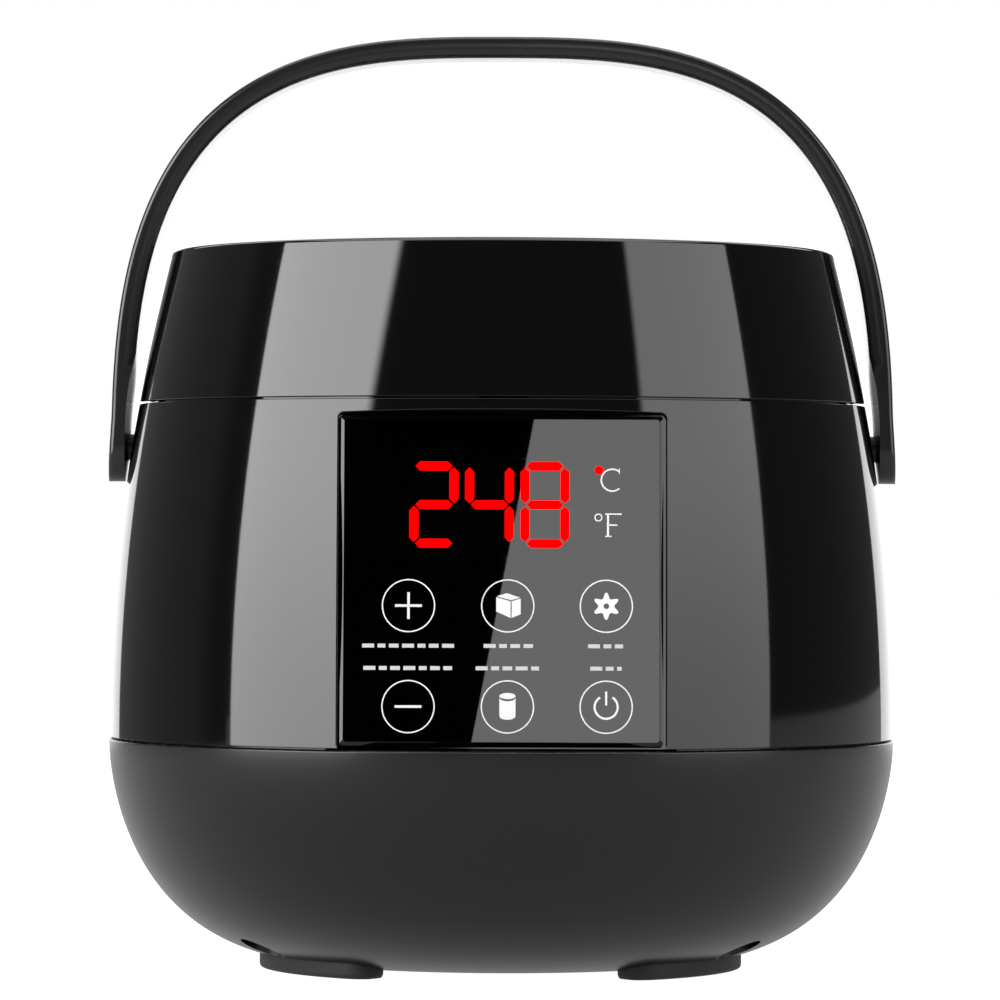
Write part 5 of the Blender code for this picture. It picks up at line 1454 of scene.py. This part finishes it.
    def unit_marks(self) -> None:
        """Degree marks beside the figures."""
        bm = bmesh.new()
        self.letter_c(bm, *self.celsius, 5.2 * MM)
        self.letter_f(bm, *self.fahrenheit, 5.1 * MM)
        x, y = self.degree
        self.band(bm, [(x + a, y + b) for a, b in circle(0.75 * MM, 20)], 0.25 * MM, closed=True)
        self.finish(new_piece("unit_marks", bm, Shading.FLAT), Marks.PRINT_WHITE)

    def key_marks(self) -> None:
        """Rings and signs of the six touch keys."""
        rings = bmesh.new()
        for row in self.key_rows:
            for x in self.key_x:
                ring = [(x + a, row + b) for a, b in circle(self.ring, 56)]
                self.band(rings, ring, self.stroke, closed=True)
        self.finish(new_piece("key_rings", rings, Shading.FLAT), Marks.PRINT_WHITE)
        signs = bmesh.new()
        left, middle, right = self.key_x
        top, low = self.key_rows
        for x, y, upright in ((left, top, True), (left, low, False)):
            self.band(signs, [(x - 2.9 * MM, y), (x + 2.9 * MM, y)], 0.55 * MM)
            if upright:
                self.band(signs, [(x, y - 2.9 * MM), (x, y + 2.9 * MM)], 0.55 * MM)
        self.block_sign(signs, middle, top)
        self.can_sign(signs, middle, low)
        self.star_sign(signs, right, top)
        self.band(signs, arc((right, low), 2.5 * MM, 122.0, 418.0, 32), 0.45 * MM)
        self.band(signs, [(right, low + 0.4 * MM), (right, low + 3.4 * MM)], 0.45 * MM)
        self.finish(new_piece("key_signs", signs, Shading.FLAT), Marks.PRINT_WHITE)

    def block_sign(self, bm: Mesh, x: float, y: float) -> None:
        """A block of wax in three faces."""
        front = [(-2.5, -1.2), (0.6, -2.6), (0.6, 1.0), (-2.5, 1.9)]
        side = [(0.85, -2.6), (2.8, -1.8), (2.8, 1.6), (0.85, 1.0)]
        top = [(-2.4, 2.1), (0.7, 1.25), (2.7, 1.8), (-0.2, 2.75)]
        for shape in (front, side, top):
            self.mark(bm, [(x + a * MM, y + b * MM) for a, b in shape])

    def can_sign(self, bm: Mesh, x: float, y: float) -> None:
        """A can of wax."""
        half, high = 1.75 * MM, 2.0 * MM
        lower = arc((0.0, -high), half, 180.0, 360.0, 12)
        body = [(a, -high + (b + high) * 0.45) for a, b in lower]
        upper = [(a, high + (b + high) * 0.45) for a, b in reversed(lower)]
        self.mark(bm, [(x + a, y + b) for a, b in body + upper])
        lid = [(a, high + 0.35 * MM + b * 0.38) for a, b in circle(half, 24)]
        self.mark(bm, [(x + a, y + b) for a, b in lid])

    def star_sign(self, bm: Mesh, x: float, y: float) -> None:
        """A six-pointed setting star with a round hole."""
        outer, inner, hole = 3.0 * MM, 1.75 * MM, 0.62 * MM
        place = PANEL.frame()
        sections = []
        for step in range(48):
            angle = 2.0 * math.pi * step / 48.0 + math.radians(30.0)
            share = 0.5 + 0.5 * math.cos(6.0 * (angle - math.radians(90.0)))
            reach = inner + (outer - inner) * share**1.6
            cosine, sine = math.cos(angle), math.sin(angle)
            corners = ((hole, -self.sink), (reach, -self.sink), (reach, self.ink), (hole, self.ink))
            sections.append([place @ Vector((x + r * cosine, y + r * sine, z)) for r, z in corners])
        self.hoop(bm, sections)

    def captions(self) -> None:
        """Short dashes in place of the key names, as wide as the names were."""
        bm = bmesh.new()
        rows = {-14.25 * MM: ((-30.2, -10.1), (-3.9, 6.8), (18.7, 26.3)),
                -19.1 * MM: ((-29.9, -10.7), (-5.6, 8.4), (19.2, 26.0))}
        for y, spans in rows.items():
            for start, end in spans:
                x = start * MM
                lengths = (2.6 * MM, 1.7 * MM, 2.1 * MM)
                index = 0
                while x < (end - 0.9) * MM:
                    length = min(lengths[index % 3], end * MM - x)
                    self.band(bm, [(x, y), (x + length, y)], 0.85 * MM)
                    x += length + 0.75 * MM
                    index += 1
        self.finish(new_piece("key_captions", bm, Shading.FLAT), Marks.PRINT_SOFT)

    def finish(self, piece: Piece, ink: Marks, slot: str = "panel_black") -> None:
        """Dress a printed or lit mark and let it ride on the housing."""
        piece.data.materials.clear()
        piece.data.materials.append(ink.material())
        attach(piece, "housing")
        log.info("%s is printed on the panel", piece.name)

    def build(self) -> None:
        """Build the plate and everything on it."""
        self.plate()
        self.figures()
        self.unit_marks()
        self.key_marks()
        self.captions()


# --------------------------------------------------------------------- handle


@dataclass
class Handle:
    """The bail handle: a strap bent over the pot, crowned inside and rounded at its ends."""

    width: float = 15.0 * MM
    thickness: float = 4.9 * MM
    power: float = 2.95
    fillet: float = 1.25 * MM
    clearance: float = 0.35 * MM
    flare: float = 0.05
    flare_start: float = 7.0 * MM
    fold: float = 95.0
    pin_radius: float = 3.0 * MM
    quarter_steps: int = 64

    def swing_reach(self, across: float, above: float, pivot: float) -> float:
        """How far out the pot reaches on the path of a point inside the strap.

        Args:
            across: The point's place across the strap.
            above: Its height above the pivot.
            pivot: The pivot's height.

        Returns:
            The pot's largest half width met on the way.
        """
        reach = 0.0
        for step in range(39):
            angle = math.radians(self.fold) * (step / 19.0 - 1.0)
            y = across * math.cos(angle) + above * math.sin(angle)
            z = pivot + above * math.cos(angle) - across * math.sin(angle)
            square = FORM.barrel(min(z, FORM.rim)) ** 2 - y**2
            if z < FORM.rim and square > 0.0:
                reach = max(reach, math.sqrt(square))
        return reach

    def stations(self, pivot: float) -> list[tuple[float, float, Vector, float]]:
        """Outer point, outward direction and half width along one side, from the end to the top."""
        arm = FORM.barrel(pivot) + self.thickness - 0.3 * MM
        foot = pivot - self.width / 2.0 - 0.5 * MM
        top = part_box("handle_bar")[1].z
        rise = top - foot
        half = self.width / 2.0
        bends = (7.0, 14.0, 22.0, 30.0, 38.0, 46.0, 54.0, 62.0, 70.0, 78.0, 86.0)
        heights = [foot + half * (1.0 - math.cos(math.radians(a))) for a in bends]
        angles = [math.asin(((z - foot) / rise) ** (self.power / 2.0)) for z in heights]
        start = angles[-1]
        angles += [start + (math.pi / 2.0 - start) * ((step + 1) / self.quarter_steps) ** 1.35
                   for step in range(self.quarter_steps)]
        found = []
        for angle in angles:
            cosine = max(math.cos(angle), 0.0)
            x = arm * cosine ** (2.0 / self.power)
            z = foot + rise * math.sin(angle) ** (2.0 / self.power)
            slope = Vector((x ** (self.power - 1.0) / arm**self.power,
                            (z - foot) ** (self.power - 1.0) / rise**self.power)).normalized()
            x += self.flare * max(0.0, pivot + self.flare_start - z)
            below = foot + half - z
            wide = half if below < 0.0 else math.sqrt(max(half**2 - below**2, 0.0))
            found.append((x, z, slope, wide))
        return found

    def section(self, station: tuple[float, float, Vector, float], pivot: float) -> list[Vector]:
        """Points round the strap at a station."""
        x, z, slope, wide = station
        fillet = min(self.fillet, 0.45 * wide)
        outside = arc((-wide + fillet, fillet), fillet, 180.0, 270.0, 4)
        outside += [(-wide + fillet + (2.0 * (wide - fillet)) * s / 4.0, 0.0) for s in (1, 2, 3)]
        outside += arc((wide - fillet, fillet), fillet, 270.0, 360.0, 4)
        points = [Vector((x - slope.x * inset, across, z - slope.y * inset)) for across, inset in outside]
        for share in (1.0, 0.97, 0.9, 0.8, 0.6, 0.3, 0.0, -0.3, -0.6, -0.8, -0.9, -0.97, -1.0):
            across = share * wide
            edge = max(abs(share) - 0.8, 0.0) / 0.2
            depth = self.thickness - 0.8 * MM * (1.0 - math.sqrt(max(1.0 - edge**2, 0.0)))
            inner = Vector((x - slope.x * depth, across, z - slope.y * depth))
            above = inner.z - pivot
            if above < FORM.rim - pivot:
                least = self.swing_reach(across, above, pivot) + self.clearance
                inner.x = max(inner.x, least)
            points.append(inner)
        return points

    def build(self) -> Piece:
        """Build and dress the strap with its blind bores."""
        pivot = frame_point("handle_swing").z
        right = [self.section(station, pivot) for station in self.stations(pivot)]
        left = [[Vector((-p.x, p.y, p.z)) for p in ring] for ring in right[:-1]]
        bm = bmesh.new()
        loft(bm, right + list(reversed(left)))
        piece = new_piece("bail_strap", bm)
        bores = bmesh.new()
        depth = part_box("pivot_pin_right")[1].x + TOUCH_GAP
        for side in (-1.0, 1.0):
            place = shift(z=pivot) @ Matrix.Rotation(side * math.radians(90.0), 4, "Y")
            prism(bores, circle(self.pin_radius + TOUCH_GAP), 0.6 * FORM.radius, depth, place)
        combine(piece, bores, "DIFFERENCE")
        shade(piece)
        return place_piece(piece, "handle", Finish.MATTE_BLACK, "handle_bar")


# ----------------------------------------------------------------- pot and lid


def vessel(
    radius: float, wall: float, floor_z: float, rim_z: float, corner: float, flange: float, taper: float
) -> list[Point2]:
    """Closed outline of an open vessel with a rolled flange.

    Args:
        radius: Outer radius at the top.
        wall: Sheet thickness.
        floor_z: Underside of the floor.
        rim_z: Top of the flange.
        corner: Rounding of the bottom edge.
        flange: Width of the flange.
        taper: How much narrower the floor is.

    Returns:
        The outline's points.
    """
    middle = radius - taper - corner
    outer = [(0.0, floor_z)] + arc((middle, floor_z + corner), corner, -90.0, 0.0, 10)
    inner = [(0.0, floor_z + wall)] + arc((middle, floor_z + corner), corner - wall, -90.0, 0.0, 10)
    bend = 2.0 * wall
    outer += arc((radius + bend, rim_z - wall - bend), bend, 180.0, 90.0, 5)
    inner += arc((radius - wall + bend + wall, rim_z - wall - bend), bend + wall, 180.0, 90.0, 6)
    lip = (radius + flange - wall / 2.0, rim_z - wall / 2.0)
    return outer + arc(lip, wall / 2.0, -90.0, 90.0, 6) + list(reversed(inner))


@dataclass
class Vessels:
    """The lift-out wax pot and the fixed bucket that it hangs in."""

    segments: int = 144
    pot_wall: float = 1.2 * MM
    corner: float = 9.0 * MM
    taper: float = 2.0 * MM
    pot_flange: float = 9.0 * MM

    def build(self) -> None:
        """Build both vessels."""
        low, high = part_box("inner_pot")
        radius = high.x - self.pot_flange
        bm = bmesh.new()
        corner = self.corner - 1.0 * MM
        pot = vessel(radius, self.pot_wall, low.z, high.z, corner, self.pot_flange, self.taper)
        lathe(bm, pot, self.segments)
        place_piece(new_piece("wax_pot", bm), "pot", Finish.SPUN_ALUMINIUM, "inner_pot")
        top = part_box("heater_bucket")[1]
        stud_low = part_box("heater_bucket")[0].z
        floor_z = low.z - 1.0 * MM - self.pot_wall
        wide = radius + 1.0 * MM + self.pot_wall
        outline = vessel(wide, self.pot_wall, floor_z, top.z, self.corner, top.x - wide, self.taper)
        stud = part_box("bracket_nut")[1].x * 0.5
        bevel = 0.3 * MM
        thread = [(0.0, stud_low), (stud - bevel, stud_low), (stud, stud_low + bevel), (stud, floor_z)]
        bm = bmesh.new()
        lathe(bm, thread + outline[1:], self.segments)
        place_piece(new_piece("heating_bucket", bm), "housing", Finish.SPUN_ALUMINIUM, "heater_bucket")


@dataclass
class Lid:
    """The clear pane in its soft rim, with a low knob."""

    segments: int = 168
    rim_width: float = 4.0 * MM
    thickness: float = 1.8 * MM
    rise: float = 2.2 * MM
    screw_radius: float = 1.9 * MM

    def build(self) -> None:
        """Build the rim, the pane and the knob."""
        low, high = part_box("lid_rim")
        outer, inner = high.x, high.x - self.rim_width
        groove = outer - 1.6 * MM
        pane_low = low.z + (high.z - low.z - self.thickness) / 2.0 - TOUCH_GAP / 2.0
        pane_high = pane_low + self.thickness + TOUCH_GAP
        soft = 0.8 * MM
        outline = arc((inner + 0.4 * MM, low.z + 0.4 * MM), 0.4 * MM, 180.0, 270.0, 3)
        outline += arc((outer - soft, low.z + soft), soft, 270.0, 360.0, 5)
        outline += arc((outer - soft, high.z - soft), soft, 0.0, 90.0, 5)
        outline += arc((inner + 0.4 * MM, high.z - 0.4 * MM), 0.4 * MM, 90.0, 180.0, 3)
        outline += [(inner, pane_high), (groove, pane_high), (groove, pane_low), (inner, pane_low)]
        bm = bmesh.new()
        lathe(bm, outline, self.segments)
        place_piece(new_piece("lid_soft_rim", bm), "lid", Finish.LID_SEAL, "lid_rim")
        self.pane(pane_low + TOUCH_GAP / 2.0, inner, groove - TOUCH_GAP)
        self.knob()

    def pane(self, low: float, inner: float, edge: float) -> None:
        """The domed pane with a bore for the knob's screw."""
        bore = self.screw_radius + TOUCH_GAP
        shoulder = inner - 1.0 * MM
        under = []
        for step in range(19):
            share = step / 18.0
            radius = bore + (shoulder - bore) * share
            under.append((radius, low + self.rise * (1.0 - share**2.4)))
        bevel = 0.3 * MM
        top = low + self.thickness
        under.append((edge - bevel, low))
        upper = [(edge, low + bevel), (edge, top - bevel), (edge - bevel, top)]
        upper += [(radius, z + self.thickness) for radius, z in reversed(under[:-1])]
        bm = bmesh.new()
        lathe(bm, under + upper, self.segments)
        place_piece(new_piece("lid_clear_pane", bm), "lid", Finish.SMOKY_CLEAR, "lid_pane")

    def knob(self) -> None:
        """The turned knob, waisted below its round cap."""
        low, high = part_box("lid_knob")
        radius = high.x
        height = high.z - low.z
        bore = self.screw_radius + TOUCH_GAP
        outline = [(0.0, low.z + 0.75 * height), (bore, low.z + 0.75 * height), (bore, low.z)]
        outline += arc((radius * 0.62 - 0.4 * MM, low.z + 0.4 * MM), 0.4 * MM, 270.0, 360.0, 4)
        waist = ((0.62, 0.12), (0.55, 0.22), (0.52, 0.34), (0.56, 0.44), (0.68, 0.52), (0.84, 0.58),
                 (0.95, 0.66))
        cap = ((1.0, 0.76), (0.985, 0.84), (0.93, 0.91), (0.82, 0.96), (0.66, 0.985), (0.4, 0.997),
               (0.0, 1.0))
        outline += [(radius * a, low.z + height * b) for a, b in waist + cap]
        bm = bmesh.new()
        lathe(bm, outline, 96)
        place_piece(new_piece("lid_turned_knob", bm), "lid", Finish.GLOSS_BLACK, "lid_knob")


# ------------------------------------------------------------------ electrics


@dataclass
class Inlet:
    """The two-pin power inlet at the rear."""

    flange: float = 1.8 * MM
    mouth: Point2 = (7.8 * MM, 4.0 * MM)
    mouth_depth: float = 9.0 * MM

    def build(self) -> None:
        """Build the flanged socket."""
        low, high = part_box("inlet_socket")
        place = shift(0.0, high.y, (low.z + high.z) / 2.0) @ Matrix.Rotation(math.radians(-90.0), 4, "X")
        half_x, half_z = (high.x - low.x) / 2.0, (high.z - low.z) / 2.0
        bm = bmesh.new()
        prism(bm, rounded_rectangle(half_x, half_z, 1.5 * MM), -self.flange, 0.0, place, 0.4 * MM)
        piece = new_piece("mains_inlet", bm)
        body = bmesh.new()
        prism(body, rounded_rectangle(half_x - INLET_STEP, half_z - INLET_STEP, 1.0 * MM),
              low.y - high.y, -0.9 * MM, place)
        combine(piece, body, "UNION")
        cut = bmesh.new()
        prism(cut, rounded_rectangle(self.mouth[0], self.mouth[1], self.mouth[1] * 0.99, 10),
              -self.mouth_depth, 1.0 * MM, place)
        combine(piece, cut, "DIFFERENCE")
        bores = bmesh.new()
        for side in ("left", "right"):
            pin_low, pin_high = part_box(f"inlet_pin_{side}")
            x = (pin_low.x + pin_high.x) / 2.0
            radius = (pin_high.x - pin_low.x) / 2.0 + 0.2 * MM
            prism(bores, circle(radius, 20), -0.06, -self.mouth_depth + 0.5 * MM, place @ shift(x=x))
        combine(piece, bores, "DIFFERENCE")
        shade(piece, Shading.CRISP)
        place_piece(piece, "housing", Finish.INLET_PLASTIC, "inlet_socket")


class CarriedParts:
    """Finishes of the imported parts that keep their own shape."""

    def build(self) -> None:
        """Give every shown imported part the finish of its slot; the handle's pivots are blackened."""
        for name, node in sorted(frame["nodes"].items()):
            if node.hide_render:
                continue
            slot = slot_of(node)
            finish = Finish.INLET_PLASTIC if name.startswith("pivot_") else Finish[slot.upper()]
            if node.material_slots:
                for held in node.material_slots:
                    held.material = finish.material()
            else:
                node.data.materials.append(finish.material())
            log.info("%s keeps its shape in %s", name, slot)


def slot_of(node: Piece) -> str:
    """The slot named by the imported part's own material."""
    for held in node.material_slots:
        if held.material:
            return held.material.name.split(".")[0]
    return "zinc_steel"


# --------------------------------------------------------------------- studio


def glow_material(name: str, strength: float) -> Material:
    """An even light-giving surface for the studio."""
    material = bpy.data.materials.new(name)
    material.use_nodes = True
    tree = material.node_tree
    tree.nodes.clear()
    out = tree.nodes.new("ShaderNodeOutputMaterial")
    lamp = tree.nodes.new("ShaderNodeEmission")
    lamp.inputs["Strength"].default_value = strength
    tree.links.new(lamp.outputs[0], out.inputs["Surface"])
    return material


def stage_card(
    name: str, points: Sequence[Vector], material: Material, marks: Sequence[Point2] = ()
) -> Piece:
    """Put one flat face in the studio, unseen by the camera and casting no shadow.

    Args:
        name: The card's name.
        points: Its corners.
        material: Its material.
        marks: What its map says at each corner.

    Returns:
        The card.
    """
    bm = bmesh.new()
    face = bm.faces.new([bm.verts.new(point) for point in points])
    if marks:
        layer = bm.loops.layers.uv.new("UVMap")
        for loop, mark in zip(face.loops, marks):
            loop[layer].uv = mark
    mesh = bpy.data.meshes.new(name)
    bm.to_mesh(mesh)
    bm.free()
    card = bpy.data.objects.new(name, mesh)
    bpy.context.scene.collection.objects.link(card)
    mesh.materials.append(material)
    card.visible_camera = False
    card.visible_shadow = False
    return card


@dataclass
class SoftBox:
    """A flat upright light whose edge towards the front may lean and fade.

    Attributes:
        name: Its name.
        azimuth: Direction of its middle from the front, in degrees, positive to the right.
        strength: Brightness.
        rear: How far it reaches away from the front, in degrees from its middle.
        front: How far it reaches towards the front, across from its middle.
        soft: Width of the fading strip along its front edge.
        lean: How much further the front edge reaches for each metre above the knee.
        knee: Height above which the front edge leans.
        rear_lean: How much further the rear edge reaches for each metre of height.
        base: Brightness that stays where the light has faded.
        dim: Share of the brightness that is lost towards the floor.
        top: Height of its upper edge.
        distance: Distance from the pot.
    """

    name: str
    azimuth: float
    strength: float
    rear: float
    front: float
    soft: float = 0.02
    lean: float = 0.0
    knee: float = 0.5
    rear_lean: float = 0.0
    base: float = 0.0
    dim: float = 0.0
    top: float = 1.25
    distance: float = 1.3

    def build(self) -> None:
        """Build the light."""
        turn = math.radians(self.azimuth)
        outward = Vector((math.sin(turn), -math.cos(turn), 0.0)) * self.distance
        forward = Vector((math.cos(turn), math.sin(turn), 0.0)) * (1.0 if self.azimuth < 0.0 else -1.0)
        low = -0.05
        rear = -self.distance * math.tan(math.radians(self.rear))
        front = self.front + self.soft + self.lean * (self.top - self.knee)
        corners = ((rear, low), (front, low), (front, self.top), (rear - self.rear_lean * self.top, self.top))
        points = [outward + forward * x + Vector((0.0, 0.0, z)) for x, z in corners]
        stage_card(self.name, points, self.material(), corners)

    def material(self) -> Material:
        """Light that fades along the front edge."""
        material = glow_material(self.name, self.strength)
        graph = Graph(material.node_tree)
        lamp = next(n for n in material.node_tree.nodes if n.type == "EMISSION")
        split = graph.add("SeparateXYZ", {"Vector": graph.add("TexCoord").outputs["UV"]})
        above = graph.math("MAXIMUM", graph.math("SUBTRACT", split.outputs["Y"], self.knee), 0.0)
        limit = graph.math("ADD", graph.math("MULTIPLY", above, self.lean), self.front + self.soft / 2.0)
        fade = graph.ramp(graph.math("SUBTRACT", limit, split.outputs["X"]), 0.0, max(self.soft, 0.001))
        height = graph.ramp(split.outputs["Y"], 0.0, self.knee)
        strength = graph.math("ADD", graph.math("MULTIPLY", height, self.dim * self.strength),
                              (1.0 - self.dim) * self.strength)
        glow = graph.math("ADD", graph.math("MULTIPLY", fade, strength), self.base)
        material.node_tree.links.new(glow, lamp.inputs["Strength"])
        return material


@dataclass
class Studio:
    """Pale floor, white backdrop, soft lights and the camera."""

    distance: float = 1.377
    eye_height: float = 0.0996
    lens: float = 215.5
    pitch: float = 0.312
    roll: float = 0.2
    side_step: float = -0.46 * MM
    ambient: float = 0.09

    def camera(self) -> None:
        """Place the camera."""
        data = bpy.data.cameras.new("camera")
        data.lens = self.lens
        data.sensor_width = 36.0
        data.clip_start = 0.05
        data.clip_end = 50.0
        camera = bpy.data.objects.new("camera", data)
        bpy.context.scene.collection.objects.link(camera)
        look = Matrix.Rotation(math.radians(90.0 + self.pitch), 4, "X")
        camera.matrix_world = (Matrix.Translation((self.side_step, -self.distance, self.eye_height)) @ look
                               @ Matrix.Rotation(math.radians(self.roll), 4, "Z"))
        bpy.context.scene.camera = camera

    def world(self) -> None:
        """White behind the pot, dim grey all round for its reflections."""
        world = bpy.data.worlds.new("studio")
        bpy.context.scene.world = world
        world.use_nodes = True
        tree = world.node_tree
        tree.nodes.clear()
        graph = Graph(tree)
        rays = graph.add("LightPath")
        seen = graph.add("Background", {"Color": (1.0, 1.0, 1.0, 1.0), "Strength": 1.0})
        given = graph.add("Background", {"Color": (1.0, 1.0, 1.0, 1.0), "Strength": self.ambient})
        mixed = graph.add("MixShader", {0: rays.outputs["Is Camera Ray"], 1: given.outputs[0],
                                        2: seen.outputs[0]})
        out = tree.nodes.new("ShaderNodeOutputWorld")
        tree.links.new(mixed.outputs[0], out.inputs["Surface"])

    def floor(self) -> None:
        """A wide pale floor that glows a little, so that it meets the backdrop without a line."""
        bm = bmesh.new()
        bmesh.ops.create_circle(bm, cap_ends=True, segments=96, radius=6.0)
        mesh = bpy.data.meshes.new("floor")
        bm.to_mesh(mesh)
        bm.free()
        floor = bpy.data.objects.new("floor", mesh)
        bpy.context.scene.collection.objects.link(floor)
        floor.location.z = -0.2 * MM
        material, graph, shader = fresh_material("pale_floor")
        shader.inputs["Base Color"].default_value = (0.1, 0.1, 0.1, 1.0)
        shader.inputs["Roughness"].default_value = 0.9
        shader.inputs["Emission Color"].default_value = (1.0, 1.0, 1.0, 1.0)
        rays = graph.add("LightPath")
        graph.feed(shader, "Emission Strength", graph.spread(rays.outputs["Is Camera Ray"], 0.45, 1.0))
        mesh.materials.append(material)

    def lights(self) -> None:
        """The soft boxes."""
        boxes = (
            SoftBox("key_left", -62.0, 8.0, 20.3, 0.465, soft=0.09, lean=0.36, base=self.ambient,
                    dim=0.22),
            SoftBox("key_right", 66.0, 3.2, 15.0, 0.535, soft=0.06, rear_lean=0.1, base=self.ambient,
                    dim=0.35),
            SoftBox("fill_left", -122.0, 0.09, 30.0, 0.7, soft=0.3, base=self.ambient),
            SoftBox("backdrop", 180.0, 2.0, 36.0, 0.87, top=1.5, distance=1.2),
        )
        for box in boxes:
            box.build()
        self.panel_card()
        self.overhead()

    def panel_card(self) -> None:
        """A slanting card above the camera with a dark flag behind it, mirrored by the flat panel only."""
        cards = (
            ("panel_card", 3.3, -1.5, ((-18.0 * MM, 0.235), (0.13, 0.235), (0.13, 0.44), (20.5 * MM, 0.44))),
            ("dark_flag", 0.0, -1.51, ((-0.2, 0.05), (0.2, 0.05), (0.2, 0.47), (-0.2, 0.47))),
        )
        for name, strength, depth, corners in cards:
            points = [Vector((x, depth, z)) for x, z in corners]
            stage_card(name, points, glow_material(name, strength)).visible_diffuse = False

    def overhead(self) -> None:
        """A broad soft light above."""
        data = bpy.data.lights.new("overhead", "AREA")
        data.shape = "RECTANGLE"
        data.size = 1.6
        data.size_y = 1.4
        data.energy = 16.0
        light = bpy.data.objects.new("overhead", data)
        bpy.context.scene.collection.objects.link(light)
        light.location = (0.0, 0.15, 1.6)
        light.visible_camera = False

    def build(self) -> None:
        """Build the whole studio."""
        bpy.context.scene.view_settings.view_transform = "Standard"
        self.camera()
        self.world()
        self.floor()
        self.lights()


# ----------------------------------------------------------------------- main


def main() -> None:
    """Build the studio and every piece of the warmer."""
    logging.basicConfig(level=logging.INFO, format="%(name)s: %(message)s")
    Studio().build()
    for part in (BaseShell(), Feet(), BodyShell(), Collar(), TouchPanel(), Handle(), Vessels(), Lid(),
                 Inlet(), CarriedParts()):
        log.info("building %s", type(part).__name__)
        part.build()


if __name__ == "__main__":
    main()
